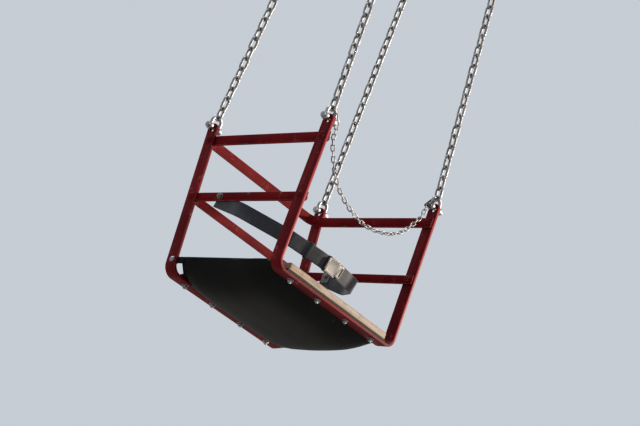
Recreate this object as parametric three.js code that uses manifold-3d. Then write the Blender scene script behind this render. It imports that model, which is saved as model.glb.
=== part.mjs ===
// Chair of a swing ride on its four chains, with the jointed hanger it hangs from.
// Millimetres. The origin is the middle of the hanger's flat top face, +Z is up.
// The chair's front faces -Y and the ride's centre lies towards +X.
import * as THREE from "three";
import { mergeVertices } from "three/addons/utils/BufferGeometryUtils.js";
import Module from "manifold-3d";

const wasm = await Module();
wasm.setup();

// clearances between pieces that touch
const GAP = 0.3;
const PIN_PLAY = 0.35;
const PAN_PLAY = 0.4;

// flat sides that a round shape has
const FACETS = { block: 36, rodEnd: 32, pin: 28, hole: 24, ear: 20, small: 16, chain: 10 };

// hanger plate, lugs and pins
const PLATE = 170;
const PLATE_THICK = 14;
const PLATE_CORNER = 14;
const HOLE_PITCH = 120;
const HOLE_DIAMETER = 18;
const UPPER_PIVOT = -78;
const LOWER_PIVOT = -168;
const PIN_DIAMETER = 24;
const PIN_TAIL = 22;
const HEAD_DIAMETER = 38;
const HEAD_THICK = 11;
const HEAD_CHAMFER = 2;
const NUT_ACROSS = 41;
const NUT_THICK = 18;
const BLOCK = 44;
const LUG_WIDE = 96;
const LUG_ROUND = 32;
const LUG_THICK = 14;
const SIDE_PLAY = 1;

// spreader and its arms
const CHEEK_WIDE = 84;
const CHEEK_ROUND = 29;
const CHEEK_FLARE = 0.2;
const SPREADER_TOP = -214;
const SPREADER_THICK = 16;
const SPREADER_WIDE = 88;
const ARM_WIDE = 44;
const ARM_THICK = 12;
const EYE_THICK = 14;
const EYE_ROUND = 20;
const EYE_DROP = 34;
const EYE_HOLE = 18;
const HANGER_HALF_X = 180;
const HANGER_HALF_Y = 80;

// chair frame of flat bar
const CHAIR_ZERO = -3250;
const CHAIR_SHIFT = -22.5;
const HALF_WIDTH = 250;
const FRONT_Y = -195;
const REAR_Y = 195;
const REAR_LEAN = 52;
const REAR_DROP = 28;
const BAR_WIDE = 36;
const BAR_THICK = 8;
const BAR_CORNER = 30;
const ROD_HEIGHT = 452;
const REAR_HEIGHT = 440;
const RAIL_THICK = 6;
const RAIL_CORNER = 34;
const RAIL_OVERHANG = 9;
const RAIL_FRONT_INSET = 2;
const RAILS = [
  { name: "top_rail", z: 388, high: 30 },
  { name: "arm_rail", z: 208, high: 26 },
];

// seat
const PAN_WALL = 5;
const LIP_HALF = 216;
const TAB_LOW = 3;
const TAB_HIGH = 18;
const TAB_START = 160;
const TAB_END = 206;
const FRONT_EDGE = FRONT_Y + BAR_WIDE / 2;
const REAR_EDGE = REAR_Y - BAR_WIDE / 2;
const PAN_HALF = HALF_WIDTH - BAR_THICK / 2 - PAN_PLAY - PAN_WALL / 2;
const FRONT_LIP = BAR_THICK / 2 + GAP + PAN_WALL / 2;
const REAR_LIP = FRONT_LIP - REAR_DROP;

// the pan's middle surface from front to rear: half width, height of its middle and its sides
const PAN_COLUMNS = 18;
const PAN_SQUARENESS = 7;
const PAN_ROWS = [
  { y: FRONT_Y - BAR_WIDE / 2, half: LIP_HALF, middle: FRONT_LIP, side: FRONT_LIP },
  { y: FRONT_EDGE - 4, half: LIP_HALF, middle: FRONT_LIP, side: FRONT_LIP },
  { y: FRONT_EDGE + 2, half: LIP_HALF, middle: FRONT_LIP + 0.3, side: FRONT_LIP + 0.6 },
  { y: FRONT_EDGE + 10, half: PAN_HALF, middle: FRONT_LIP - 5, side: 18 },
  { y: -149, half: PAN_HALF, middle: -19, side: 19 },
  { y: -121, half: PAN_HALF, middle: -38, side: 19 },
  { y: -85, half: PAN_HALF, middle: -48, side: 18 },
  { y: -30, half: PAN_HALF, middle: -54, side: 18 },
  { y: 25, half: PAN_HALF, middle: -57, side: 18 },
  { y: 75, half: PAN_HALF, middle: -57, side: 18 },
  { y: 115, half: PAN_HALF, middle: -54, side: 18 },
  { y: 146, half: PAN_HALF, middle: -46, side: 18 },
  { y: REAR_EDGE - 9, half: PAN_HALF, middle: -34, side: 17 },
  { y: REAR_EDGE - 3, half: LIP_HALF, middle: REAR_LIP + 2.7, side: REAR_LIP + 4 },
  { y: REAR_Y + BAR_WIDE / 2 - 1, half: LIP_HALF, middle: REAR_LIP - 1.7, side: REAR_LIP - 1.7 },
];

// wooden strip along the seat's front edge
const STRIP_LONG = 424;
const STRIP_WIDE = 30;
const STRIP_THICK = 20;
const STRIP_FORWARD = 3;

// lap belt
const BELT_WIDE = 42;
const BELT_THICK = 3;
const BELT_TILT = 16;
const BELT_REACH = 272;
const BELT_CORNER = 60;
const BELT_END_Y = 128;
const BELT_END_Z = 200;
const BELT_STRAIGHT = 110;
const BELT_SHOULDER = { x: 150, back: 36 };
const BELT_FLAT_HALF = 45;
const BUCKLE = { wide: 56, thick: 10, high: 50 };

// shackles and chains
const BOW_WIRE = 10;
const BOW_HALF = 17;
const BOW_HIGH = 36;
const EAR_RADIUS = 11;
const EAR_THICK = 10;
const SHACKLE_PIN = 10;
const SHACKLE_SEAT = (EYE_HOLE - SHACKLE_PIN) / 2 - GAP;
const SHACKLE_HEAD = { radius: 8.6, thick: 4.6 };
const SHACKLE_NUT = { radius: 9, thick: 6.6 };
const CHAIN_WIDE = 27;
const CHAIN_TAPER = 8;
const CHAIN_NECK = 0.55;
const SAFETY_WIDE = 13;

// half of the safety chain's line, as heights over the front rods' eyes
const SAFETY_ROUTE = [
  { x: 216.4, rise: 14 },
  { x: 215.4, rise: -14 },
  { x: 203, rise: -54 },
  { x: 130, rise: -140 },
  { x: 0, rise: -178 },
];

// colours
const RED = { color: 0x8f1420, roughness: 0.42, metalness: 0.1 };
const STEEL = { color: 0x8d9296, roughness: 0.42, metalness: 0.9 };
const DARK_STEEL = { color: 0x4a4d50, roughness: 0.5, metalness: 0.85 };
const BLACK = { color: 0x16181a, roughness: 0.62, metalness: 0.0 };
const WOOD = { color: 0xb8a283, roughness: 0.7, metalness: 0.0 };
const WEBBING = { color: 0x2b2d33, roughness: 0.85, metalness: 0.0 };

const SIDES = [-1, 1];
const X_AXIS = new THREE.Vector3(1, 0, 0);
const Y_AXIS = new THREE.Vector3(0, 1, 0);

function place(parent, name, geometry, look) {
  const mesh = new THREE.Mesh(geometry, new THREE.MeshStandardMaterial(look));
  mesh.name = name;
  parent.add(mesh);
  return mesh;
}

// Boolean cuts and joins
function toSolid(geometry) {
  const bare = geometry.clone();
  bare.deleteAttribute("normal");
  bare.deleteAttribute("uv");
  const merged = mergeVertices(bare, 1e-4);
  const mesh = new wasm.Mesh({
    numProp: 3,
    vertProperties: new Float32Array(merged.attributes.position.array),
    triVerts: new Uint32Array(merged.index.array),
  });
  mesh.merge();
  return new wasm.Manifold(mesh);
}

function fromSolid(solid) {
  const mesh = solid.getMesh();
  const positions = [];
  for (let i = 0; i < mesh.vertProperties.length; i += mesh.numProp) {
    positions.push(...mesh.vertProperties.subarray(i, i + 3));
  }
  return closedGeometry(positions, [...mesh.triVerts]);
}

function closedGeometry(positions, index) {
  const geometry = new THREE.BufferGeometry();
  geometry.setAttribute("position", new THREE.Float32BufferAttribute(positions, 3));
  geometry.setIndex(index);
  geometry.computeVertexNormals();
  return geometry;
}

function cut(body, ...tools) {
  return fromSolid(tools.reduce((solid, tool) => solid.subtract(toSolid(tool)), toSolid(body)));
}

function join(...bodies) {
  return fromSolid(bodies.map(toSolid).reduce((solid, body) => solid.add(body)));
}

// Round bar along an axis, its middle at a point
function rod(middle, axis, length, radius, sides) {
  const geometry = new THREE.CylinderGeometry(radius, radius, length, sides);
  geometry.applyQuaternion(new THREE.Quaternion().setFromUnitVectors(Y_AXIS, axis));
  geometry.translate(...middle);
  return geometry;
}

function box(size, middle) {
  const geometry = new THREE.BoxGeometry(...size);
  geometry.translate(...middle);
  return geometry;
}

// Shape extruded to both sides of its own plane
function slab(shape, thick) {
  const options = { depth: thick, bevelEnabled: false, curveSegments: 10 };
  const geometry = new THREE.ExtrudeGeometry(shape, options);
  geometry.translate(0, 0, -thick / 2);
  return geometry;
}

function circlePath(x, y, radius, clockwise) {
  const path = new THREE.Path();
  path.absarc(x, y, radius, 0, 2 * Math.PI, clockwise);
  return path;
}

// Centre line with round corners
function roundedLine(corners, radius, steps) {
  const points = corners.map((corner) => new THREE.Vector2(...corner));
  const line = [points[0]];
  for (let i = 1; i < points.length - 1; i += 1) {
    const back = points[i - 1].clone().sub(points[i]).normalize();
    const on = points[i + 1].clone().sub(points[i]).normalize();
    const half = Math.acos(THREE.MathUtils.clamp(back.dot(on), -1, 1)) / 2;
    const centre = back.clone().add(on).normalize().multiplyScalar(radius / Math.sin(half)).add(points[i]);
    const start = back.multiplyScalar(radius / Math.tan(half)).add(points[i]).sub(centre);
    const end = on.multiplyScalar(radius / Math.tan(half)).add(points[i]).sub(centre);
    const turn = Math.sign(start.cross(end)) * (Math.PI - 2 * half);
    for (let k = 0; k <= steps; k += 1) {
      const point = start.clone().rotateAround(new THREE.Vector2(), (turn * k) / steps);
      line.push(point.add(centre));
    }
  }
  line.push(points.at(-1));
  return line;
}

// Outline of a bent strip: a centre line given a thickness
function stripShape(line, thick) {
  const left = [];
  const right = [];
  line.forEach((point, i) => {
    const forward = (line[i + 1] ?? point).clone().sub(line[i - 1] ?? point).normalize();
    const side = new THREE.Vector2(-forward.y, forward.x).multiplyScalar(thick / 2);
    left.push(point.clone().add(side));
    right.push(point.clone().sub(side));
  });
  return new THREE.Shape([...left, ...right.reverse()]);
}

// Mounting plate: a square with round corners and four bolt holes, its top face at z 0
function mountingPlate() {
  const half = PLATE / 2;
  const inner = half - PLATE_CORNER;
  const shape = new THREE.Shape();
  shape.moveTo(-inner, -half);
  shape.absarc(inner, -inner, PLATE_CORNER, -Math.PI / 2, 0, false);
  shape.absarc(inner, inner, PLATE_CORNER, 0, Math.PI / 2, false);
  shape.absarc(-inner, inner, PLATE_CORNER, Math.PI / 2, Math.PI, false);
  shape.absarc(-inner, -inner, PLATE_CORNER, Math.PI, Math.PI * 1.5, false);
  for (const sx of SIDES) {
    for (const sy of SIDES) {
      shape.holes.push(circlePath((sx * HOLE_PITCH) / 2, (sy * HOLE_PITCH) / 2, HOLE_DIAMETER / 2, true));
    }
  }
  const plate = slab(shape, PLATE_THICK);
  plate.translate(0, 0, -PLATE_THICK / 2);
  return plate;
}

// Lug under the plate, wide at the top and round about the upper pivot, in the XZ plane
function upperLug() {
  const top = -PLATE_THICK - GAP;
  const shape = new THREE.Shape();
  shape.moveTo(-LUG_WIDE / 2, top);
  shape.lineTo(LUG_WIDE / 2, top);
  const flare = Math.atan2(LUG_WIDE / 2 - LUG_ROUND, top - UPPER_PIVOT) / 2;
  shape.absarc(0, UPPER_PIVOT, LUG_ROUND, flare, Math.PI - flare, true);
  shape.holes.push(circlePath(0, UPPER_PIVOT, PIN_DIAMETER / 2 + PIN_PLAY, false));
  const lug = slab(shape, LUG_THICK);
  lug.rotateX(Math.PI / 2);
  return lug;
}

// Cheek on the spreader, round about the lower pivot, in the YZ plane
function spreaderCheek() {
  const low = SPREADER_TOP + GAP;
  const shape = new THREE.Shape();
  shape.moveTo(-CHEEK_WIDE / 2, low);
  shape.lineTo(CHEEK_WIDE / 2, low);
  shape.absarc(0, LOWER_PIVOT, CHEEK_ROUND, -CHEEK_FLARE, Math.PI + CHEEK_FLARE, false);
  shape.closePath();
  shape.holes.push(circlePath(0, LOWER_PIVOT, PIN_DIAMETER / 2 + PIN_PLAY, true));
  const cheek = slab(shape, LUG_THICK);
  cheek.rotateX(Math.PI / 2);
  cheek.rotateZ(Math.PI / 2);
  return cheek;
}

// Headed pin with its head towards +Y
function headedPin(grip) {
  const r = PIN_DIAMETER / 2;
  const head = HEAD_DIAMETER / 2;
  const profile = [
    [0, -grip - PIN_TAIL],
    [r, -grip - PIN_TAIL],
    [r, grip],
    [head, grip],
    [head, grip + HEAD_THICK - HEAD_CHAMFER],
    [head - HEAD_CHAMFER, grip + HEAD_THICK],
    [0, grip + HEAD_THICK],
  ];
  return new THREE.LatheGeometry(profile.map((corner) => new THREE.Vector2(...corner)), FACETS.pin);
}

// Hexagon nut on the pin's tail, towards -Y
function pinNut(grip) {
  const corners = [];
  for (let k = 0; k < 6; k += 1) {
    corners.push(new THREE.Vector2(NUT_ACROSS / 2, 0).rotateAround(new THREE.Vector2(), (Math.PI * k) / 3));
  }
  const shape = new THREE.Shape(corners);
  shape.holes.push(circlePath(0, 0, PIN_DIAMETER / 2 + GAP, true));
  const nut = slab(shape, NUT_THICK);
  nut.rotateX(Math.PI / 2);
  nut.translate(0, -grip - NUT_THICK / 2, 0);
  return nut;
}

// Swivel block between the two crossed pins
function swivelBlock() {
  const half = PIN_DIAMETER / 2 + PIN_PLAY;
  const size = [BLOCK, BLOCK, UPPER_PIVOT - LOWER_PIVOT];
  const body = join(
    box(size, [0, 0, (UPPER_PIVOT + LOWER_PIVOT) / 2]),
    rod([0, 0, UPPER_PIVOT], Y_AXIS, BLOCK, BLOCK / 2, FACETS.block),
    rod([0, 0, LOWER_PIVOT], X_AXIS, BLOCK, BLOCK / 2, FACETS.block),
  );
  return cut(
    body,
    rod([0, 0, UPPER_PIVOT], Y_AXIS, 2 * BLOCK, half, FACETS.pin),
    rod([0, 0, LOWER_PIVOT], X_AXIS, 2 * BLOCK, half, FACETS.pin),
  );
}

// Arm across the spreader's end with an eye lug under each end
const armTop = SPREADER_TOP - SPREADER_THICK - GAP;
const hangEyeZ = armTop - ARM_THICK - EYE_DROP;
function spreaderArm(x) {
  const length = 2 * HANGER_HALF_Y + ARM_WIDE;
  const bodies = [box([ARM_WIDE, length, ARM_THICK], [x, 0, armTop - ARM_THICK / 2])];
  const holes = [];
  for (const sy of SIDES) {
    const y = sy * HANGER_HALF_Y;
    const high = EYE_DROP + 1;
    bodies.push(box([EYE_THICK, 2 * EYE_ROUND, high], [x, y, hangEyeZ + high / 2]));
    bodies.push(rod([x, y, hangEyeZ], X_AXIS, EYE_THICK, EYE_ROUND, FACETS.pin));
    holes.push(rod([x, y, hangEyeZ], X_AXIS, 3 * EYE_THICK, EYE_HOLE / 2, FACETS.hole));
  }
  return cut(join(...bodies), ...holes);
}

// Hoop of flat bar bent under the seat, with a round eye at the top of each rod
function hoop(height) {
  const corners = [[-HALF_WIDTH, height], [-HALF_WIDTH, 0], [HALF_WIDTH, 0], [HALF_WIDTH, height]];
  const strip = slab(stripShape(roundedLine(corners, BAR_CORNER, 10), BAR_THICK), BAR_WIDE);
  strip.rotateX(Math.PI / 2);
  const tip = BAR_WIDE / 2;
  const tools = SIDES.flatMap((side) => {
    const eye = [side * HALF_WIDTH, 0, height - tip];
    const waste = box([2 * BAR_THICK, 2 * BAR_WIDE, 2 * tip], [eye[0], 0, height]);
    return [
      rod(eye, X_AXIS, 3 * BAR_THICK, EYE_HOLE / 2, FACETS.hole),
      cut(waste, rod(eye, X_AXIS, 3 * BAR_THICK, tip, FACETS.rodEnd)),
    ];
  });
  return cut(strip, ...tools);
}

// Rail of flat bar bent round the left side, the back and the right side
function rail(back, high) {
  const x = HALF_WIDTH - BAR_THICK / 2 - GAP - RAIL_THICK / 2;
  const front = FRONT_Y - BAR_WIDE / 2 + RAIL_FRONT_INSET;
  const corners = [[-x, front], [-x, back], [x, back], [x, front]];
  return slab(stripShape(roundedLine(corners, RAIL_CORNER, 10), RAIL_THICK), high);
}

// Closed shell of even thickness about a grid of points
function shell(grid, wall) {
  const rows = grid.length;
  const columns = grid[0].length;
  const positions = [];
  const index = [];
  for (const side of [1, -1]) {
    grid.forEach((line, i) => {
      line.forEach((point, k) => {
        const along = grid[Math.min(i + 1, rows - 1)][k].clone().sub(grid[Math.max(i - 1, 0)][k]);
        const across = line[Math.min(k + 1, columns - 1)].clone().sub(line[Math.max(k - 1, 0)]);
        const off = across.cross(along).normalize().multiplyScalar((side * wall) / 2);
        positions.push(...off.add(point).toArray());
      });
    });
  }
  const top = (i, k) => i * columns + k;
  const under = (i, k) => (rows + i) * columns + k;
  const quad = (a, b, c, d) => index.push(a, b, c, a, c, d);
  const last = { row: rows - 1, column: columns - 1 };
  for (let i = 0; i < last.row; i += 1) {
    for (let k = 0; k < last.column; k += 1) {
      quad(top(i, k), top(i, k + 1), top(i + 1, k + 1), top(i + 1, k));
      quad(under(i, k), under(i + 1, k), under(i + 1, k + 1), under(i, k + 1));
    }
    quad(top(i, 0), top(i + 1, 0), under(i + 1, 0), under(i, 0));
    quad(top(i + 1, last.column), top(i, last.column), under(i, last.column), under(i + 1, last.column));
  }
  for (let k = 0; k < last.column; k += 1) {
    quad(top(0, k + 1), top(0, k), under(0, k), under(0, k + 1));
    quad(top(last.row, k), top(last.row, k + 1), under(last.row, k + 1), under(last.row, k));
  }
  return closedGeometry(positions, index);
}

// Seat pan: a moulded tray with lips over the two bottom bars and a tab beside each rear rod
function seatPan() {
  const grid = PAN_ROWS.map(({ y, half, middle, side }) => {
    const line = [];
    for (let k = 0; k <= PAN_COLUMNS; k += 1) {
      const share = Math.sin(((2 * k) / PAN_COLUMNS - 1) * (Math.PI / 2));
      const height = middle + (side - middle) * Math.abs(share) ** PAN_SQUARENESS;
      line.push(new THREE.Vector3(half * share, y, height));
    }
    return line;
  });
  const size = [PAN_WALL, TAB_END - TAB_START, TAB_HIGH - TAB_LOW];
  const tabs = SIDES.map((side) => {
    return box(size, [side * PAN_HALF, (TAB_START + TAB_END) / 2, (TAB_LOW + TAB_HIGH) / 2]);
  });
  return join(shell(grid, PAN_WALL), ...tabs);
}

// Bow shackle in its own XZ plane: the pin through the origin, the bow towards +Z, the nut towards +X
function shackle() {
  const line = [new THREE.Vector3(-BOW_HALF, 0, EAR_RADIUS / 2)];
  const centre = BOW_HIGH - BOW_HALF;
  for (let k = 0; k <= 6; k += 1) {
    const angle = Math.PI * (1 - k / 6);
    line.push(new THREE.Vector3(Math.cos(angle) * BOW_HALF, 0, centre + Math.sin(angle) * BOW_HALF));
  }
  line.push(new THREE.Vector3(BOW_HALF, 0, EAR_RADIUS / 2));
  const wire = new THREE.Shape();
  wire.absarc(0, 0, BOW_WIRE / 2, 0, 2 * Math.PI, false);
  const bow = new THREE.ExtrudeGeometry(wire, {
    steps: 18,
    curveSegments: 5,
    extrudePath: new THREE.CatmullRomCurve3(line),
    bevelEnabled: false,
  });
  const outer = BOW_HALF + EAR_THICK / 2;
  const head = SHACKLE_HEAD;
  const nut = SHACKLE_NUT;
  return join(
    bow,
    rod([-BOW_HALF, 0, 0], X_AXIS, EAR_THICK, EAR_RADIUS, FACETS.ear),
    rod([BOW_HALF, 0, 0], X_AXIS, EAR_THICK, EAR_RADIUS, FACETS.ear),
    rod([0, 0, 0], X_AXIS, 2 * outer + 2, SHACKLE_PIN / 2, FACETS.small),
    rod([-outer - head.thick / 2, 0, 0], X_AXIS, head.thick, head.radius, FACETS.small),
    rod([outer + nut.thick / 2, 0, 0], X_AXIS, nut.thick, nut.radius, 6),
  );
}

// Chain: one slender body of the links' outer size
function chainBody(from, to) {
  const run = to.clone().sub(from);
  const length = run.length();
  const r = CHAIN_WIDE / 2;
  const profile = [
    [0, 0],
    [r * CHAIN_NECK, 0],
    [r, CHAIN_TAPER],
    [r, length - CHAIN_TAPER],
    [r * CHAIN_NECK, length],
    [0, length],
  ];
  const corners = profile.map((corner) => new THREE.Vector2(...corner));
  const geometry = new THREE.LatheGeometry(corners, FACETS.chain);
  geometry.applyQuaternion(new THREE.Quaternion().setFromUnitVectors(Y_AXIS, run.normalize()));
  geometry.translate(...from);
  return geometry;
}

// Slack safety chain from the top of one front rod to the other
function safetyChain(top) {
  const left = SAFETY_ROUTE.map(({ x, rise }) => new THREE.Vector3(-x, FRONT_Y, top + rise));
  const right = SAFETY_ROUTE.slice(0, -1).map(({ x, rise }) => new THREE.Vector3(x, FRONT_Y, top + rise));
  const section = new THREE.Shape();
  section.absarc(0, 0, SAFETY_WIDE / 2, 0, 2 * Math.PI, false);
  return new THREE.ExtrudeGeometry(section, {
    steps: 36,
    curveSegments: 4,
    extrudePath: new THREE.CatmullRomCurve3([...left, ...right.reverse()]),
    bevelEnabled: false,
  });
}

// The whole part
const part = new THREE.Group();
part.name = "swing_ride_chair";
const chair = new THREE.Group();
chair.position.set(0, CHAIR_SHIFT, CHAIR_ZERO);
part.add(chair);

place(part, "mounting_plate", mountingPlate(), DARK_STEEL);
const lugMiddle = BLOCK / 2 + SIDE_PLAY + LUG_THICK / 2;
place(part, "front_lug", upperLug(), DARK_STEEL).position.y = -lugMiddle;
place(part, "rear_lug", upperLug(), DARK_STEEL).position.y = lugMiddle;
const grip = lugMiddle + LUG_THICK / 2 + GAP;
for (const [name, geometry] of [["upper_pin", headedPin(grip)], ["upper_nut", pinNut(grip)]]) {
  const mesh = place(part, name, geometry, STEEL);
  mesh.rotation.x = Math.PI;
  mesh.position.z = UPPER_PIVOT;
}
place(part, "swivel_block", swivelBlock(), STEEL);
place(part, "left_cheek", spreaderCheek(), DARK_STEEL).position.x = -lugMiddle;
place(part, "right_cheek", spreaderCheek(), DARK_STEEL).position.x = lugMiddle;
for (const [name, geometry] of [["lower_pin", headedPin(grip)], ["lower_nut", pinNut(grip)]]) {
  const mesh = place(part, name, geometry, STEEL);
  mesh.rotation.z = -Math.PI / 2;
  mesh.position.z = LOWER_PIVOT;
}
const barSize = [2 * HANGER_HALF_X + ARM_WIDE, SPREADER_WIDE, SPREADER_THICK];
place(part, "spreader_bar", box(barSize, [0, 0, SPREADER_TOP - SPREADER_THICK / 2]), DARK_STEEL);
place(part, "left_arm", spreaderArm(-HANGER_HALF_X), DARK_STEEL);
place(part, "right_arm", spreaderArm(HANGER_HALF_X), DARK_STEEL);

// the rear hoop is the front one's shape, lower and leaning back
const leanAngle = Math.atan2(REAR_LEAN, REAR_HEIGHT + REAR_DROP);
const rearLength = Math.hypot(REAR_LEAN, REAR_HEIGHT + REAR_DROP);
place(chair, "front_hoop", hoop(ROD_HEIGHT), RED).position.y = FRONT_Y;
const rearHoop = place(chair, "rear_hoop", hoop(rearLength), RED);
rearHoop.position.set(0, REAR_Y, -REAR_DROP);
rearHoop.rotation.x = -leanAngle;
for (const { name, z, high } of RAILS) {
  const back = REAR_Y + (z + REAR_DROP) * Math.tan(leanAngle) + RAIL_OVERHANG;
  place(chair, name, rail(back, high), RED).position.z = z;
}

place(chair, "seat_pan", seatPan(), BLACK);
const stripZ = BAR_THICK / 2 + GAP + PAN_WALL + GAP + STRIP_THICK / 2;
const stripSize = [STRIP_LONG, STRIP_WIDE, STRIP_THICK];
place(chair, "seat_front_strip", box(stripSize, [0, FRONT_Y - STRIP_FORWARD, stripZ]), WOOD);

// the belt lies in a plane of its own that slopes down to the front
const beltX = HALF_WIDTH - BAR_THICK / 2 - GAP - RAIL_THICK - GAP - BELT_THICK / 2;
const beltHalf = [
  [beltX, 0],
  [beltX, -BELT_STRAIGHT],
  [BELT_SHOULDER.x, BELT_SHOULDER.back - BELT_REACH],
  [BELT_FLAT_HALF, -BELT_REACH],
];
const beltCorners = [...beltHalf.map(([x, y]) => [-x, y]), ...beltHalf.toReversed()];
const belt = new THREE.Group();
belt.position.set(0, BELT_END_Y, BELT_END_Z);
belt.rotation.x = THREE.MathUtils.degToRad(BELT_TILT);
chair.add(belt);
const beltShape = stripShape(roundedLine(beltCorners, BELT_CORNER, 6), BELT_THICK);
place(belt, "lap_belt", slab(beltShape, BELT_WIDE), WEBBING);
const buckleY = -BELT_REACH - BELT_THICK / 2 - GAP - BUCKLE.thick / 2;
place(belt, "belt_buckle", box([BUCKLE.wide, BUCKLE.thick, BUCKLE.high], [0, buckleY, 0]), STEEL);

// each chain hangs between a shackle in a rod's eye and one in an arm's eye
const rodEye = ROD_HEIGHT - BAR_WIDE / 2;
const rearEye = rearLength - BAR_WIDE / 2;
const rearEyeY = REAR_Y + rearEye * Math.sin(leanAngle);
const rearEyeZ = rearEye * Math.cos(leanAngle) - REAR_DROP;
const ends = [
  { name: "front", sy: -1, y: FRONT_Y, z: rodEye },
  { name: "rear", sy: 1, y: rearEyeY, z: rearEyeZ },
];
for (const end of ends) {
  for (const [side, sx] of [["left", -1], ["right", 1]]) {
    const low = new THREE.Vector3(sx * HALF_WIDTH, end.y + CHAIR_SHIFT, end.z + CHAIR_ZERO);
    const high = new THREE.Vector3(sx * HANGER_HALF_X, end.sy * HANGER_HALF_Y, hangEyeZ);
    const run = high.clone().sub(low).normalize();
    const crown = SHACKLE_SEAT + BOW_HIGH + BOW_WIRE / 2 + GAP;
    for (const [level, eye, way] of [["lower", low, run], ["upper", high, run.clone().negate()]]) {
      const mesh = place(part, `${level}_shackle_${end.name}_${side}`, shackle(), STEEL);
      const across = X_AXIS.clone().multiplyScalar(sx).projectOnPlane(way).normalize();
      const turn = new THREE.Matrix4().makeBasis(across, way.clone().cross(across), way);
      mesh.quaternion.setFromRotationMatrix(turn);
      mesh.position.copy(eye).addScaledVector(way, SHACKLE_SEAT);
    }
    const from = low.clone().addScaledVector(run, crown);
    const to = high.clone().addScaledVector(run, -crown);
    place(part, `chain_${end.name}_${side}`, chainBody(from, to), STEEL);
  }
}
place(chair, "safety_chain", safetyChain(rodEye), STEEL);

export default part;
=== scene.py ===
"""Looks of a fairground swing chair on its four chains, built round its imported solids."""

import logging
import math
import random
from dataclasses import dataclass, field
from enum import Enum
from typing import Iterable, Iterator, Mapping, Optional, Sequence, Union

import bmesh
import bpy
from bmesh.types import BMEdge, BMesh, BMFace, BMLayerItem, BMVert
from bpy.types import ID, Material, Mesh, Node, NodeSocket, Object
from mathutils import Matrix, Vector


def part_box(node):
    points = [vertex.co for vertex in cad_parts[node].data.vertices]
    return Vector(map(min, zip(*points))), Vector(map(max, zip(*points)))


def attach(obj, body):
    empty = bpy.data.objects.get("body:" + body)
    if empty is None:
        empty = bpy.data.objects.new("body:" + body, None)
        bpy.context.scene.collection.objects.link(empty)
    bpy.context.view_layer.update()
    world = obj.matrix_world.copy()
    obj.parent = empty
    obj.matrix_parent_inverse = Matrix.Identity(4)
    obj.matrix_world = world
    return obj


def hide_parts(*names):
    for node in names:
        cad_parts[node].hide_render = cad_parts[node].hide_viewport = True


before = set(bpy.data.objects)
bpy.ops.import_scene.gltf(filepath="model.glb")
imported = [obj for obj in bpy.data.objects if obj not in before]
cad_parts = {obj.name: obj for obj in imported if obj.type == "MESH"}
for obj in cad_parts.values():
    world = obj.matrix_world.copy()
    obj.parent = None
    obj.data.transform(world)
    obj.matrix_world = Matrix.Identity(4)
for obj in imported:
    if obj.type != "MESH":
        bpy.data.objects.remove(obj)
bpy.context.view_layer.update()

logging.basicConfig(level=logging.INFO, format="%(message)s")
LOG = logging.getLogger("swing_chair")

MM = 0.001
SEED = 11
CLOTH_MAP = "cloth"
TINY = 1e-9
NEARLY_ALONG = 0.99
SIDES = (-1, 1)
Colour = tuple[float, float, float]
Triple = tuple[float, float, float]
Corners = Sequence[tuple[float, float]]
X = Vector((1.0, 0.0, 0.0))
Y = Vector((0.0, 1.0, 0.0))
Z = Vector((0.0, 0.0, 1.0))


class Body(str, Enum):
    """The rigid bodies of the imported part."""

    HANGER = "hanger"
    SWIVEL = "swivel"
    CHAIR = "chair"


class Slot(str, Enum):
    """The record's material slots."""

    RED = "red_paint"
    CHAIN = "chain_steel"
    PLAIN = "plain_steel"
    HANGER = "hanger_steel"
    SEAT = "seat_black"
    WOOD = "bare_wood"
    WEBBING = "webbing"


class Mark(str, Enum):
    """Numbers from 0 to 1 that a mesh's faces carry for its finish."""

    WORN = "worn"
    # Rubbing on the chain links; on the front rods' forward faces, a painted sun highlight.
    RUBBED = "rubbed"


class Cell(str, Enum):
    """What a pattern of scattered cells measures."""

    MIDDLE = "F1"
    EDGE = "DISTANCE_TO_EDGE"


# Shader arithmetic
class Signal:
    """One output of a node, on which plain arithmetic adds Math nodes."""

    def __init__(self, bench: "Bench", socket: NodeSocket) -> None:
        """Wraps an output socket of the material on a bench."""
        self.bench = bench
        self.socket = socket

    def _math(self, operation: str, first: "Number", second: "Number") -> "Signal":
        """One Math node's output, from its operation and its two inputs."""
        return self.bench.add("ShaderNodeMath", {"operation": operation}, {0: first, 1: second})

    def __add__(self, other: "Number") -> "Signal":
        """Sum."""
        return self._math("ADD", self, other)

    def __radd__(self, other: "Number") -> "Signal":
        """Sum with the number in front."""
        return self._math("ADD", other, self)

    def __sub__(self, other: "Number") -> "Signal":
        """Difference."""
        return self._math("SUBTRACT", self, other)

    def __rsub__(self, other: "Number") -> "Signal":
        """Difference with the number in front."""
        return self._math("SUBTRACT", other, self)

    def __mul__(self, other: "Number") -> "Signal":
        """Product."""
        return self._math("MULTIPLY", self, other)

    def __rmul__(self, other: "Number") -> "Signal":
        """Product with the number in front."""
        return self._math("MULTIPLY", other, self)

    def sine(self) -> "Signal":
        """Sine of this value in radians."""
        return self._math("SINE", self, 0.0)

    def least(self, other: "Number") -> "Signal":
        """The smaller of two values."""
        return self._math("MINIMUM", self, other)

    def most(self, other: "Number") -> "Signal":
        """The larger of two values."""
        return self._math("MAXIMUM", self, other)

    def between(self, low: float, high: float) -> "Signal":
        """Smooth step from 0 at low to 1 at high."""
        settings = {"interpolation_type": "SMOOTHSTEP"}
        return self.bench.add("ShaderNodeMapRange", settings, {0: self, 1: low, 2: high})


Number = Union[float, Signal]
Key = Union[int, str]
Settings = Optional[Mapping[str, object]]
Values = Optional[Mapping[Key, object]]


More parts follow.
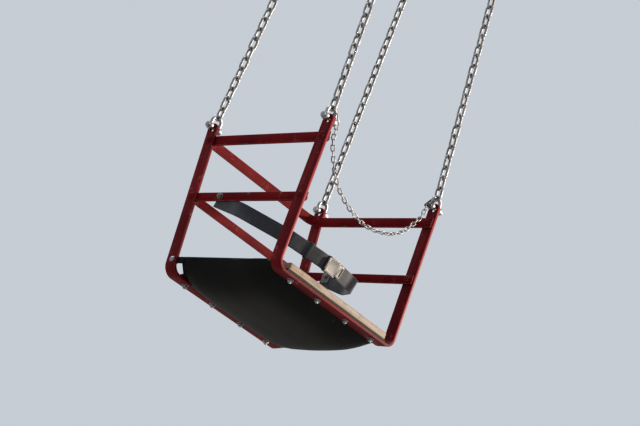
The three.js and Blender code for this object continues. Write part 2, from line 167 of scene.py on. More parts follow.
class Bench:
    """Makes the node tree of one material."""

    def __init__(self, name: str) -> None:
        """Starts an empty material.

        Args:
            name: the material's name.
        """
        self.material = bpy.data.materials.new(name)
        self.material.use_nodes = True
        self.tree = self.material.node_tree
        self.tree.nodes.clear()

    def node(self, kind: str, settings: Settings = None, values: Values = None) -> Node:
        """Adds a node of any kind.

        Args:
            kind: the node's type.
            settings: its properties, which are set first.
            values: a link or a value for each named or numbered input.

        Returns:
            The node.
        """
        node = self.tree.nodes.new(kind)
        for key, setting in (settings or {}).items():
            setattr(node, key, setting)
        for key, value in (values or {}).items():
            if isinstance(value, Signal):
                self.tree.links.new(value.socket, node.inputs[key])
            elif isinstance(value, tuple) and node.inputs[key].type == "RGBA":
                node.inputs[key].default_value = (*value, 1.0)
            else:
                node.inputs[key].default_value = value
        return node

    def add(
        self, kind: str, settings: Settings = None, values: Values = None, output: Key = 0
    ) -> Signal:
        """One output of a new node."""
        return Signal(self, self.node(kind, settings, values).outputs[output])

    def place(self) -> Signal:
        """Object coordinates."""
        return self.add("ShaderNodeTexCoord", output="Object")

    def stretched(self, vector: Signal, scale: Triple) -> Signal:
        """Coordinates scaled by their own factor along X, Y and Z."""
        return self.add("ShaderNodeMapping", None, {"Vector": vector, "Scale": scale})

    def noise(self, vector: Signal, scale: float, detail: float = 4.0, rough: float = 0.55) -> Signal:
        """Soft noise from 0 to 1, with its features a metre, its octaves and their fine share."""
        values = {"Vector": vector, "Scale": scale, "Detail": detail, "Roughness": rough}
        return self.add("ShaderNodeTexNoise", None, values)

    def cells(self, vector: Signal, scale: float, kind: Cell = Cell.MIDDLE) -> Signal:
        """Distance pattern of scattered cells, so many a metre."""
        values = {"Vector": vector, "Scale": scale}
        return self.add("ShaderNodeTexVoronoi", {"feature": kind.value}, values)

    def mark(self, mark: Mark) -> Signal:
        """A number that the mesh's faces carry."""
        return self.add("ShaderNodeAttribute", {"attribute_name": mark.value}, output="Fac")

    def along(self, vector: Signal, axis: str) -> Signal:
        """One coordinate of a vector, "X", "Y" or "Z"."""
        return self.add("ShaderNodeSeparateXYZ", None, {0: vector}, output=axis)

    def blend(self, base: Union[Colour, Signal], over: Union[Colour, Signal], share: Number) -> Signal:
        """Mixes a share of the second colour over the first."""
        settings = {"data_type": "RGBA", "clamp_factor": True}
        return self.add("ShaderNodeMix", settings, {0: share, 6: base, 7: over}, output=2)

    def relief(self, height: Signal, strength: float, depth: float) -> Signal:
        """Bent normal from a height of 0 to 1, how strongly it shows and its depth in metres."""
        values = {"Height": height, "Strength": strength, "Distance": depth}
        return self.add("ShaderNodeBump", None, values)

    def surface(
        self,
        colour: Union[Colour, Signal],
        rough: Number,
        normal: Optional[Signal] = None,
        metallic: Number = 0.0,
        coat: Number = 0.0,
        fixed: Optional[Mapping[str, float]] = None,
    ) -> Material:
        """Ends the material in a Principled shader.

        Args:
            colour: base colour.
            rough: roughness.
            normal: bent normal, if any.
            metallic: metal share.
            coat: clear coat weight.
            fixed: numbers for other sockets, the same all over.

        Returns:
            The material.
        """
        values: dict[Key, object] = {
            "Base Color": colour,
            "Roughness": rough,
            "Metallic": metallic,
            "Coat Weight": coat,
            **(fixed or {}),
        }
        if normal is not None:
            values["Normal"] = normal
        shader = self.add("ShaderNodeBsdfPrincipled", None, values)
        self.node("ShaderNodeOutputMaterial", None, {"Surface": shader})
        return self.material


# Finishes, whose patterns are sized in features a metre
@dataclass(frozen=True)
class RedEnamel:
    """Dark red enamel: dulled in patches, chipped along its edges, with a painted sun highlight where
    faces carry the rub mark.
    """

    name: str = "red_enamel"
    coat: Colour = (0.092, 0.0044, 0.0074)
    bright: Colour = (0.155, 0.0072, 0.0108)
    # Faded red; also the colour of the painted sun highlight.
    faded: Colour = (0.40, 0.030, 0.048)
    primer: Colour = (0.33, 0.13, 0.12)
    steel: Colour = (0.16, 0.135, 0.125)
    rust: Colour = (0.13, 0.043, 0.018)
    rough: float = 0.42
    varnish: float = 0.02
    shine: float = 0.09
    clouds: float = 7.0
    patches: float = 38.0
    grits: float = 260.0
    specks: float = 190.0
    pores: float = 900.0

    def make(self) -> Material:
        """Mixes the enamel.

        Returns:
            The material.
        """
        bench = Bench(self.name)
        place = bench.place()
        cloud = bench.noise(place, self.clouds, 5.0)
        patch = bench.noise(place, self.patches)
        grit = bench.noise(place, self.grits, 3.0)
        speck = bench.cells(place, self.specks)
        edge = bench.mark(Mark.WORN)
        # On red parts the rub mark holds a painted sun highlight, not wear.
        rub = bench.mark(Mark.RUBBED)
        tone = bench.blend(self.coat, self.bright, cloud.between(0.3, 0.72))
        # Painted highlight: faces with the rub mark (only the front rods' forward faces) turn towards the
        # faded red, standing in for the low sun on them.
        sun_highlight = rub * (patch * 0.7 + grit * 0.5 - 0.2)
        tone = bench.blend(tone, self.faded, patch.between(0.52, 0.78) * 0.12 + edge * 0.5 + sun_highlight)
        wear = grit * 0.45 + patch * 0.55 + edge * 0.13
        nick = (0.07 - speck).between(0.0, 0.04) * patch.between(0.5, 0.6)
        bare = wear.between(0.635, 0.665).most(nick)
        rim = wear.between(0.610, 0.645)
        tone = bench.blend(tone, self.primer, rim * 0.75)
        metal = bench.blend(self.steel, self.rust, cloud.between(0.35, 0.6))
        tone = bench.blend(tone, metal, bare)
        height = bench.noise(place, self.pores, 2.0) * 0.25 + patch * 0.35 - bare * 0.9
        rough = self.rough + patch * 0.26 + bare * 0.28
        normal = bench.relief(height, 0.35, 0.00035)
        fixed = {"Coat Roughness": 0.18, "Specular IOR Level": self.shine}
        return bench.surface(tone, rough, normal, coat=(1.0 - bare) * self.varnish, fixed=fixed)


@dataclass(frozen=True)
class ZincSteel:
    """Galvanised steel: grey spangle, dirt in the hollows, bright where links rub, first rust."""

    name: str
    light: Colour = (0.46, 0.47, 0.48)
    dark: Colour = (0.19, 0.195, 0.2)
    rust: Colour = (0.15, 0.06, 0.025)
    rusty: float = 0.35
    polish: float = 0.42
    spangle: float = 0.8
    clouds: float = 24.0
    grits: float = 310.0
    flakes: float = 160.0

    def make(self) -> Material:
        """Mixes the steel.

        Returns:
            The material.
        """
        bench = Bench(self.name)
        place = bench.place()
        cloud = bench.noise(place, self.clouds)
        fine = bench.noise(place, self.grits)
        flake = bench.cells(place, self.flakes)
        rub = bench.mark(Mark.RUBBED)
        edge = bench.mark(Mark.WORN)
        pattern = cloud * 0.5 + flake * self.spangle + (0.8 - self.spangle) * 0.4
        tone = bench.blend(self.dark, self.light, pattern.between(0.25, 0.85))
        tone = bench.blend(tone, self.light, (rub * 0.9 + edge * 0.5).least(1.0))
        stain = (fine * 0.5 + cloud * 0.5 - rub * 0.2).between(0.53, 0.62) * self.rusty
        tone = bench.blend(tone, self.rust, stain)
        rough = self.polish + fine * 0.2 - rub * 0.18 + stain * 0.35
        normal = bench.relief(fine * 0.6 + flake * 0.4, 0.06 + self.spangle * 0.27, 0.0003)
        return bench.surface(tone, rough, normal, metallic=0.92 - stain * 0.8)


@dataclass(frozen=True)
class HangerPaint:
    """Dark grey machine paint on the hanger, thin on its edges."""

    name: str = "hanger_paint"
    coat: Colour = (0.048, 0.052, 0.056)
    dusty: Colour = (0.13, 0.135, 0.135)
    steel: Colour = (0.33, 0.33, 0.33)
    rust: Colour = (0.13, 0.05, 0.02)
    clouds: float = 11.0
    patches: float = 60.0
    grits: float = 330.0

    def make(self) -> Material:
        """Mixes the paint.

        Returns:
            The material.
        """
        bench = Bench(self.name)
        place = bench.place()
        cloud = bench.noise(place, self.clouds, 5.0)
        patch = bench.noise(place, self.patches)
        grit = bench.noise(place, self.grits, 3.0)
        edge = bench.mark(Mark.WORN)
        tone = bench.blend(self.coat, self.dusty, (cloud * 0.6 + grit * 0.4).between(0.4, 0.75))
        bare = (grit * 0.45 + patch * 0.55 + edge * 0.14).between(0.62, 0.66)
        metal = bench.blend(self.steel, self.rust, grit.between(0.42, 0.6))
        tone = bench.blend(tone, metal, bare)
        rough = 0.42 + cloud * 0.2 - bare * 0.08
        normal = bench.relief(patch * 0.4 + grit * 0.3 - bare, 0.4, 0.0003)
        return bench.surface(tone, rough, normal, metallic=bare * 0.7)


@dataclass(frozen=True)
class SeatPlastic:
    """Black moulded seat plastic with a fine leather grain, scuffed where riders slide."""

    name: str = "seat_plastic"
    black: Colour = (0.0055, 0.0058, 0.0060)
    grey: Colour = (0.0155, 0.0156, 0.0148)
    dust: Colour = (0.085, 0.079, 0.068)
    gloss: float = 0.11
    clouds: float = 8.0
    grains: float = 620.0
    pores: float = 1500.0
    slides: Triple = (120.0, 9.0, 60.0)

    def make(self) -> Material:
        """Mixes the plastic.

        Returns:
            The material.
        """
        bench = Bench(self.name)
        place = bench.place()
        cloud = bench.noise(place, self.clouds, 5.0)
        grain = bench.cells(place, self.grains, Cell.EDGE)
        pore = bench.noise(place, self.pores, 2.0)
        slide = bench.noise(bench.stretched(place, self.slides), 1.0, 5.0)
        tone = bench.blend(self.black, self.grey, cloud.between(0.35, 0.75) * 0.6)
        scuff = slide.between(0.6, 0.72) * cloud.between(0.45, 0.6)
        tone = bench.blend(tone, self.dust, scuff * 0.42 + bench.mark(Mark.WORN) * 0.12)
        rough = 0.46 + cloud * 0.16 + scuff * 0.2
        height = grain.between(0.0, 0.09) * 0.8 + pore * 0.2 - scuff * 0.2
        normal = bench.relief(height, 0.4, 0.00035)
        return bench.surface(tone, rough, normal, fixed={"Specular IOR Level": self.gloss})


@dataclass(frozen=True)
class WeatheredWood:
    """Bare softwood strip, bleached by the sun, with dark grain lines and small checks."""

    name: str = "weathered_wood"
    pale: Colour = (0.33, 0.252, 0.185)
    tan: Colour = (0.215, 0.152, 0.105)
    dark: Colour = (0.075, 0.052, 0.038)
    grey: Colour = (0.25, 0.222, 0.198)
    bends: Triple = (5.0, 40.0, 40.0)
    fibres: Triple = (16.0, 620.0, 620.0)
    rings: tuple[float, float] = (1500.0, 420.0)
    clouds: float = 14.0
    stains: float = 46.0

    def make(self) -> Material:
        """Mixes the wood.

        Returns:
            The material.
        """
        bench = Bench(self.name)
        place = bench.place()
        wander = bench.noise(bench.stretched(place, self.bends), 1.0)
        fibre = bench.noise(bench.stretched(place, self.fibres), 1.0, 4.0, 0.6)
        deep, high = (bench.along(place, axis) * turns for axis, turns in zip("YZ", self.rings))
        ring = (deep + high + wander * 26.0).sine()
        tone = bench.blend(self.pale, self.tan, ring.between(-0.2, 1.0) * 0.85)
        tone = bench.blend(tone, self.grey, bench.noise(place, self.clouds).between(0.35, 0.65) * 0.7)
        line = (fibre * 0.75 + wander * 0.25).between(0.54, 0.68)
        stain = bench.noise(place, self.stains, 5.0).between(0.52, 0.66)
        soiled = line * 0.66 + stain * 0.3 + bench.mark(Mark.WORN) * 0.16
        tone = bench.blend(tone, self.dark, soiled)
        height = 1.0 - line * 0.8 - ring.between(0.0, 1.0) * 0.3
        return bench.surface(tone, 0.66 + line * 0.2, bench.relief(height, 0.55, 0.0005))


@dataclass(frozen=True)
class BeltWebbing:
    """Dark woven webbing: a herringbone of flat yarns with thick selvedges, faded on top."""

    name: str = "belt_webbing"
    yarn: Colour = (0.022, 0.024, 0.033)
    faded: Colour = (0.085, 0.088, 0.102)
    dirt: Colour = (0.14, 0.12, 0.095)
    picks: float = 2900.0
    ribs: float = 3700.0
    frays: float = 540.0
    clouds: float = 17.0

    def make(self) -> Material:
        """Mixes the webbing, which follows the piece's own cloth map.

        Returns:
            The material.
        """
        bench = Bench(self.name)
        cloth = bench.add("ShaderNodeUVMap", {"uv_map": CLOTH_MAP})
        place = bench.place()
        wide = bench.along(cloth, "Y")
        slant = (wide * self.ribs * 0.25).sine().between(-0.3, 0.3) * 2.0 - 1.0
        weft = (bench.along(cloth, "X") * self.picks + slant * 1.4).sine()
        weave = weft * (wide * self.ribs).sine() * 0.5 + 0.5
        fray = bench.noise(place, self.frays, 3.0)
        cloud = bench.noise(place, self.clouds)
        tone = bench.blend(self.yarn, self.faded, weave * 0.55 + cloud.between(0.4, 0.7) * 0.45)
        tone = bench.blend(tone, self.dirt, (fray * 0.5 + cloud * 0.5).between(0.5, 0.7) * 0.25)
        normal = bench.relief(weave * 0.75 + fray * 0.25, 0.6, 0.0005)
        fixed = {"Sheen Weight": 0.25, "Sheen Roughness": 0.5}
        return bench.surface(tone, 0.78 + fray * 0.14, normal, fixed=fixed)


@dataclass(frozen=True)
class BeltThread:
    """Pale twisted sewing thread, gone grey with dirt."""

    name: str = "belt_thread"
    pale: Colour = (0.34, 0.335, 0.32)
    dirty: Colour = (0.12, 0.115, 0.105)
    twists: tuple[float, float] = (5200.0, 4100.0)
    clouds: float = 90.0

    def make(self) -> Material:
        """Mixes the thread.

        Returns:
            The material.
        """
        bench = Bench(self.name)
        place = bench.place()
        long, high = (bench.along(place, axis) * turns for axis, turns in zip("XZ", self.twists))
        twist = (long + high).sine() * 0.5 + 0.5
        dirt = bench.noise(place, self.clouds)
        tone = bench.blend(self.pale, self.dirty, (1.0 - twist) * 0.4 + dirt.between(0.45, 0.65) * 0.6)
        return bench.surface(tone, 0.75 + dirt * 0.15, bench.relief(twist, 0.5, 0.0002))


@dataclass(frozen=True)
class DarkSteel:
    """Blackened steel of the snap hook and the belt's keeper, rubbed bright on its high spots."""

    name: str = "dark_steel"
    black: Colour = (0.03, 0.031, 0.033)
    bright: Colour = (0.3, 0.3, 0.3)
    clouds: float = 45.0
    grits: float = 240.0

    def make(self) -> Material:
        """Mixes the steel.

        Returns:
            The material.
        """
        bench = Bench(self.name)
        place = bench.place()
        fine = bench.noise(place, self.grits)
        cloud = bench.noise(place, self.clouds, 3.0)
        bare = (fine * 0.5 + cloud * 0.5 + bench.mark(Mark.WORN) * 0.1).between(0.58, 0.66)
        tone = bench.blend(self.black, self.bright, bare)
        rough = 0.5 + fine * 0.2 - bare * 0.15
        return bench.surface(tone, rough, bench.relief(fine, 0.35, 0.0003), metallic=0.35 + bare * 0.5)


@dataclass(frozen=True)
class Coating:
    """A material together with the record's slot that it answers to."""

    material: Material
    slot: Slot


class Finishes:
    """Every finish of the chair, each mixed once."""

    def __init__(self) -> None:
        """Mixes all the materials."""
        chain = ZincSteel("galvanised_chain", (0.36, 0.365, 0.37), (0.11, 0.113, 0.117))
        hardware = ZincSteel("zinc_hardware", polish=0.34, rusty=0.25, spangle=0.2)
        pressed = ZincSteel(
            "buckle_steel", (0.27, 0.27, 0.265), (0.12, 0.12, 0.118), polish=0.44, rusty=0.3, spangle=0.1
        )
        rail = RedEnamel("rail_enamel", rough=0.52, varnish=0.0, shine=0.06)
        self.red = Coating(RedEnamel().make(), Slot.RED)
        self.rail_red = Coating(rail.make(), Slot.RED)
        self.chain = Coating(chain.make(), Slot.CHAIN)
        self.plain = Coating(hardware.make(), Slot.PLAIN)
        self.buckle = Coating(pressed.make(), Slot.PLAIN)
        self.hanger = Coating(HangerPaint().make(), Slot.HANGER)
        self.seat = Coating(SeatPlastic().make(), Slot.SEAT)
        self.wood = Coating(WeatheredWood().make(), Slot.WOOD)
        self.webbing = Coating(BeltWebbing().make(), Slot.WEBBING)
        self.thread = Coating(BeltThread().make(), Slot.WEBBING)
        self.dark = Coating(DarkSteel().make(), Slot.PLAIN)


# Shop tools for meshes
def vertices_of(parts: Iterable[object]) -> list[BMVert]:
    """The vertices among what a bmesh operator made."""
    return [part for part in parts if isinstance(part, BMVert)]


def edges_of(parts: Iterable[object]) -> list[BMEdge]:
    """The edges among what a bmesh operator made."""
    return [part for part in parts if isinstance(part, BMEdge)]


def open_end(parts: Iterable[object]) -> list[BMEdge]:
    """The edges of the new open end among what an extrusion or a spin made.

    Args:
        parts: the operator's output.

    Returns:
        The edges whose two ends are new as well.
    """
    kept = list(parts)
    corners = set(vertices_of(kept))
    return [edge for edge in edges_of(kept) if set(edge.verts) <= corners]


def outline_at(
    mesh: BMesh, section: Corners, at: Vector, side: Vector, across: Vector
) -> tuple[list[BMVert], list[BMEdge]]:
    """Draws a closed section about a point, as a ring of vertices and its edges."""
    corners = [mesh.verts.new(at + side * u + across * v) for u, v in section]
    return corners, [mesh.edges.new(pair) for pair in zip(corners, corners[1:] + corners[:1])]


def closed_up(mesh: BMesh, *rings: list[BMEdge]) -> BMesh:
    """Fills open ends and turns all the faces outwards.

    Args:
        mesh: the mesh, changed in place.
        rings: the edges of each open end.

    Returns:
        The same mesh.
    """
    for ring in rings:
        bmesh.ops.contextual_create(mesh, geom=ring)
    bmesh.ops.recalc_face_normals(mesh, faces=mesh.faces)
    return mesh


class BarBender:
    """Draws a bar along straights and round bends, from a section held across its way."""

    TIP_TURN = 80.0
    WELD_REACH = 2e-5

    @classmethod
    def tip_width(cls) -> float:
        """Share of its width that a round end keeps at its tip."""
        return math.cos(math.radians(cls.TIP_TURN))

    @classmethod
    def tip_reach(cls) -> float:
        """How far a round end reaches, as a share of its radius."""
        return math.sin(math.radians(cls.TIP_TURN))

    def __init__(self, section: Corners, start: Vector, way: Vector, side: Vector) -> None:
        """Sets the section up at the start.

        Args:
            section: corners of the section, along side and along way x side.
            start: where the bar starts.
            way: the direction it leaves in.
            side: the section's first axis.
        """
        self.mesh = bmesh.new()
        self.at = Vector(start)
        self.way = Vector(way).normalized()
        self.side = Vector(side).normalized()
        across = self.way.cross(self.side)
        self.first = outline_at(self.mesh, section, self.at, self.side, across)[1]
        self.ring = list(self.first)

    def straight(self, length: float, squeeze: float = 1.0) -> "BarBender":
        """Draws the bar straight on.

        Args:
            length: how far.
            squeeze: scale of the new end along the section's first axis.

        Returns:
            The bender itself.
        """
        grown = bmesh.ops.extrude_edge_only(self.mesh, edges=self.ring)["geom"]
        corners = vertices_of(grown)
        bmesh.ops.translate(self.mesh, verts=corners, vec=self.way * length)
        self.at = self.at + self.way * length
        for corner in corners:
            corner.co += self.side * (corner.co - self.at).dot(self.side) * (squeeze - 1.0)
        self.ring = open_end(grown)
        return self

    def bend(self, radius: float, degrees: float, towards: Vector, steps: int) -> "BarBender":
        """Swings the bar round an arc.

        Args:
            radius: the bend's radius at the bar's middle line.
            degrees: how far it turns.
            towards: where the arc's centre lies.
            steps: number of facets.

        Returns:
            The bender itself.
        """
        inward = (towards - self.way * towards.dot(self.way)).normalized()
        centre = self.at + inward * radius
        axis = self.way.cross(inward)
        angle = math.radians(degrees)
        corners = list({corner for edge in self.ring for corner in edge.verts})
        swung = bmesh.ops.spin(
            self.mesh, geom=corners + self.ring, cent=centre, axis=axis, angle=angle, steps=steps
        )["geom_last"]
        turn = Matrix.Rotation(angle, 3, axis)
        self.at = centre + turn @ (self.at - centre)
        self.way = turn @ self.way
        self.side = turn @ self.side
        self.ring = open_end(swung)
        return self

    def rounded_tip(self, radius: float, steps: int = 8, opening: bool = False) -> "BarBender":
        """Draws a flat bar's round end, from full width to its tip or back.

        Args:
            radius: half the bar's width.
            steps: number of facets.
            opening: True where the bar starts at its tip.

        Returns:
            The bender itself.
        """
        turns = [math.radians(self.TIP_TURN) * k / steps for k in range(steps + 1)]
        if opening:
            turns.reverse()
        for before, after in zip(turns, turns[1:]):
            rise = abs(math.sin(after) * radius - math.sin(before) * radius)
            self.straight(rise, math.cos(after) / math.cos(before))
        return self

    def capped(self) -> BMesh:
        """The finished mesh, with both ends closed."""
        return closed_up(self.mesh, self.first, self.ring)

    def joined(self) -> BMesh:
        """The finished mesh of a ring or a link, its end welded to its start."""
        bmesh.ops.remove_doubles(self.mesh, verts=self.mesh.verts, dist=self.WELD_REACH)
        return closed_up(self.mesh)


class SectionRun:
    """Carries a closed section from station to station and keeps its length as a cloth map."""

    def __init__(self, section: Corners, at: Vector, side: Vector, across: Vector) -> None:
        """Sets the section up at the first station.

        Args:
            section: its corners, along side and across.
            at: the first station.
            side: the section's first axis, the thickness of a strap.
            across: its second axis, the width of a strap.
        """
        self.mesh = bmesh.new()
        self.section = section
        self.at = at.copy()
        self.length = 0.0
        corners, self.first = outline_at(self.mesh, section, at, side, across)
        self.ring = list(self.first)
        self.number = {corner: k for k, corner in enumerate(corners)}
        self.spot = {corner: (0.0, section[k][1]) for k, corner in enumerate(corners)}

    def station(self, at: Vector, side: Vector, across: Vector, scale: float = 1.0) -> None:
        """Extrudes the section to the next station.

        Args:
            at: the station.
            side: the section's first axis there.
            across: its second axis there.
            scale: the section's size there.
        """
        self.length += (at - self.at).length
        self.at = at.copy()
        grown = bmesh.ops.extrude_edge_only(self.mesh, edges=self.ring)["geom"]
        numbers = {}
        for corner in vertices_of(grown):
            ends = (edge.other_vert(corner) for edge in corner.link_edges)
            numbers[corner] = next(self.number[end] for end in ends if end in self.number)
            u, v = self.section[numbers[corner]]
            corner.co = at + side * u * scale + across * v * scale
            self.spot[corner] = (self.length, v)
        self.number = numbers
        self.ring = open_end(grown)

    def capped(self) -> BMesh:
        """Lays the cloth map and closes both ends.

        Returns:
            The finished mesh.
        """
        cloth = self.mesh.loops.layers.uv.new(CLOTH_MAP)
        for face in self.mesh.faces:
            for loop in face.loops:
                loop[cloth].uv = self.spot[loop.vert]
        return closed_up(self.mesh, self.first, self.ring)


def headings(way: Sequence[Vector]) -> list[Vector]:
    """The direction that a line of points has at each of them."""
    last = len(way) - 1
    return [(way[min(k + 1, last)] - way[max(k - 1, 0)]).normalized() for k in range(len(way))]


def run_along(way: Sequence[Vector], section: Corners, across: Vector) -> BMesh:
    """Carries a section along a line of points.

    Args:
        way: the points.
        section: the section's corners, thickness first.
        across: rough direction of the section's width.

    Returns:
        The closed mesh with its cloth map.
    """
    run = None
    for point, heading in zip(way, headings(way)):
        side = heading.cross(across).normalized()
        wide = side.cross(heading).normalized()
        if run is None:
            run = SectionRun(section, point, side, wide)
        else:
            run.station(point, side, wide)
    return run.capped()


def rounded_way(points: Sequence[Vector], radius: float, steps: int) -> list[Vector]:
    """A line of straights joined by round corners.

    Args:
        points: the corners.
        radius: radius of every corner.
        steps: points on each corner.

    Returns:
        The line's points.
    """
    way = [points[0].copy()]
    for before, corner, after in zip(points, points[1:], points[2:]):
        back = (before - corner).normalized()
        on = (after - corner).normalized()
        half = back.angle(on) / 2
        centre = corner + (back + on).normalized() * radius / math.sin(half)
        start = corner + back * radius / math.tan(half) - centre
        axis = back.cross(on).normalized() * -1.0
        sweep = math.pi - 2 * half
        for k in range(steps + 1):
            way.append(centre + Matrix.Rotation(sweep * k / steps, 3, axis) @ start)
    way.append(points[-1].copy())
    return way


def even_way(points: Sequence[Vector], gap: float) -> list[Vector]:
    """The same line with points at even distances.

    Args:
        points: the line.
        gap: the wanted distance.

    Returns:
        The evenly spaced points.
    """
    reach = [0.0]
    for before, after in zip(points, points[1:]):
        reach.append(reach[-1] + (after - before).length)
    count = max(2, round(reach[-1] / gap))
    way = []
    at = 0
    for k in range(count + 1):
        want = reach[-1] * k / count
        while at < len(points) - 2 and reach[at + 1] < want:
            at += 1
        share = (want - reach[at]) / max(reach[at + 1] - reach[at], TINY)
        way.append(points[at].lerp(points[at + 1], share))
    return way


def smooth_way(points: Sequence[Vector], steps: int) -> list[Vector]:
    """A smooth line through every point.

    Args:
        points: the points to pass.
        steps: stations from one point to the next.

    Returns:
        The line's points.
    """
    ends = [points[0] * 2 - points[1], *points, points[-1] * 2 - points[-2]]
    way = []
    for a, b, c, d in zip(ends, ends[1:], ends[2:], ends[3:]):
        for k in range(steps):
            t = k / steps
            bend = (b * 3 - c * 3 + d - a) * t ** 3 + (a * 2 - b * 5 + c * 4 - d) * t ** 2
            way.append((bend + (c - a) * t + b * 2) * 0.5)
    way.append(points[-1].copy())
    return way


def round_section(radius: float, sides: int) -> Corners:
    """Section of round bar with that many facets."""
    angles = [2.0 * math.pi * (k + 0.5) / sides for k in range(sides)]
    return [(math.cos(angle) * radius, math.sin(angle) * radius) for angle in angles]


def flat_section(first: float, second: float) -> Corners:
    """Section of flat bar, from its size along the section's first and second axis."""
    u, v = first / 2.0, second / 2.0
    return [(-u, -v), (u, -v), (u, v), (-u, v)]


def strap_section(thick: float, wide: float) -> Corners:
    """Section of woven strap: flat middle, rounded selvedges.

    Args:
        thick: the strap's thickness.
        wide: its width.

    Returns:
        The section's corners.
    """
    selvedge = ((0.45, 1.0), (0.95, 0.965), (0.82, 0.9), (1.0, 0.8), (1.0, 0.27))
    upper = [(u * thick / 2, v * wide / 2) for u, v in selvedge]
    right = upper + [(u, -v) for u, v in reversed(upper)]
    return right + [(-u, v) for u, v in reversed(right)]


def lay(mesh: BMesh, middle: Vector, axis: Vector, spin: float = 0.0) -> BMesh:
    """Moves a mesh made along +Z to its place and axis, turned about itself by some radians."""
    turn = Vector(axis).to_track_quat("Z", "Y").to_matrix().to_4x4()
    return moved(mesh, Matrix.Translation(middle) @ turn @ Matrix.Rotation(spin, 4, "Z"))


def moved(mesh: BMesh, matrix: Matrix) -> BMesh:
    """The same mesh, moved and turned by a matrix."""
    bmesh.ops.transform(mesh, matrix=matrix, verts=mesh.verts)
    return mesh


def disc(
    radius: float, thick: float, middle: Vector, axis: Vector, sides: int, spin: float = 0.0
) -> BMesh:
    """Round plate, short pin or, with six sides, a nut's prism.

    Args:
        radius: its radius.
        thick: its length along the axis.
        middle: its middle.
        axis: its axis.
        sides: number of facets.
        spin: turn about its axis in radians.

    Returns:
        The mesh.
    """
    mesh = bmesh.new()
    bmesh.ops.create_cone(
        mesh, cap_ends=True, segments=sides, radius1=radius, radius2=radius, depth=thick
    )
    return lay(mesh, middle, axis, spin)


def dome(radius: float, high: float, foot: Vector, axis: Vector, sides: int = 20) -> BMesh:
    """Domed bolt or rivet head, closed underneath.

    Args:
        radius: its radius.
        high: its height.
        foot: the middle of its underside.
        axis: the way it stands out.
        sides: number of facets.

    Returns:
        The mesh.
    """
    mesh = bmesh.new()
    bmesh.ops.create_uvsphere(mesh, u_segments=sides, v_segments=12, radius=radius)
    everything = [*mesh.verts, *mesh.edges, *mesh.faces]
    made = bmesh.ops.bisect_plane(
        mesh, geom=everything, plane_co=(0, 0, 0), plane_no=(0, 0, -1), clear_outer=True
    )
    bmesh.ops.contextual_create(mesh, geom=edges_of(made["geom_cut"]))
    bmesh.ops.scale(mesh, vec=(1.0, 1.0, high / radius), verts=mesh.verts)
    return lay(closed_up(mesh), foot, axis)


def block(size: Triple, middle: Vector) -> BMesh:
    """Rectangular block.

    Args:
        size: its sizes along X, Y and Z in millimetres.
        middle: its middle.

    Returns:
        The mesh.
    """
    mesh = bmesh.new()
    bmesh.ops.create_cube(mesh, size=MM)
    bmesh.ops.scale(mesh, vec=size, verts=mesh.verts)
    return moved(mesh, Matrix.Translation(middle))


def bevelled(mesh: BMesh, edges: list[BMEdge], width: float, segments: int) -> list[BMFace]:
    """Rounds some edges of a mesh and hands back the rounding's faces."""
    return bmesh.ops.bevel(
        mesh,
        geom=edges,
        offset=width,
        affect="EDGES",
        segments=segments,
        profile=0.5,
        material=-1,
        clamp_overlap=True,
    )["faces"]


def round_corners(mesh: BMesh, along: Vector, radius: float, segments: int) -> None:
    """Rounds the edges that run along one direction.

    Args:
        mesh: the mesh, changed in place.
        along: the direction.
        radius: the corner radius.
        segments: facets of the rounding.
    """
    corners = []
    for edge in mesh.edges:
        line = (edge.verts[1].co - edge.verts[0].co).normalized()
        if abs(line.dot(along)) > NEARLY_ALONG:
            corners.append(edge)
    bevelled(mesh, corners, radius, segments)


def marks(mesh: BMesh, mark: Mark) -> BMLayerItem:
    """The mesh's face marks of one kind, added if it has none."""
    return mesh.faces.layers.float.get(mark.value) or mesh.faces.layers.float.new(mark.value)


def soften(mesh: BMesh, width: float, segments: int = 2, angle: float = 50.0) -> BMesh:
    """Rounds every sharp edge and marks the rounding as worn.

    Args:
        mesh: the mesh, changed in place.
        width: the rounding's width.
        segments: facets of the rounding.
        angle: edges sharper than this many degrees are rounded.

    Returns:
        The same mesh.
    """
    worn = marks(mesh, Mark.WORN)
    limit = math.radians(angle)
    sharp = [edge for edge in mesh.edges if edge.is_manifold and edge.calc_face_angle(0.0) > limit]
    for face in bevelled(mesh, sharp, width, segments):
        face[worn] = 1.0
    return mesh


def gathered(*meshes: BMesh) -> BMesh:
    """Puts several meshes into one.

    Args:
        meshes: the meshes, freed afterwards.

    Returns:
        One mesh that holds them all.
    """
    whole = bmesh.new()
    for mark in Mark:
        marks(whole, mark)
    for mesh in meshes:
        data = stored("part", mesh)
        whole.from_mesh(data)
        bpy.data.meshes.remove(data)
    return whole


def stored(name: str, mesh: BMesh) -> Mesh:
    """Keeps a working mesh under a name.

    Args:
        name: the name.
        mesh: the working mesh, freed.

    Returns:
        The named mesh.
    """
    data = bpy.data.meshes.new(name)
    mesh.to_mesh(data)
    mesh.free()
    return data


def shown(name: str, data: ID) -> Object:
    """Puts a mesh, a lamp or a camera into the scene.

    Args:
        name: the new object's name.
        data: what it holds.

    Returns:
        The object.
    """
    thing = bpy.data.objects.new(name, data)
    bpy.context.scene.collection.objects.link(thing)
    return thing


def carve(mesh: BMesh, *cutters: BMesh) -> BMesh:
    """Cuts closed meshes out of another.

    Args:
        mesh: what is cut, freed.
        cutters: what is taken away, freed.

    Returns:
        The cut mesh.
    """
    work, tool = (shown("cut", stored("cut", part)) for part in (mesh, gathered(*cutters)))
    knife = work.modifiers.new("cut", "BOOLEAN")
    knife.object = tool
    knife.operation = "DIFFERENCE"
    knife.solver = "EXACT"
    seen = work.evaluated_get(bpy.context.evaluated_depsgraph_get())
    result = bmesh.new()
    result.from_mesh(seen.to_mesh())
    seen.to_mesh_clear()
    for made in (work, tool):
        data = made.data
        bpy.data.objects.remove(made)
        bpy.data.meshes.remove(data)
    return result


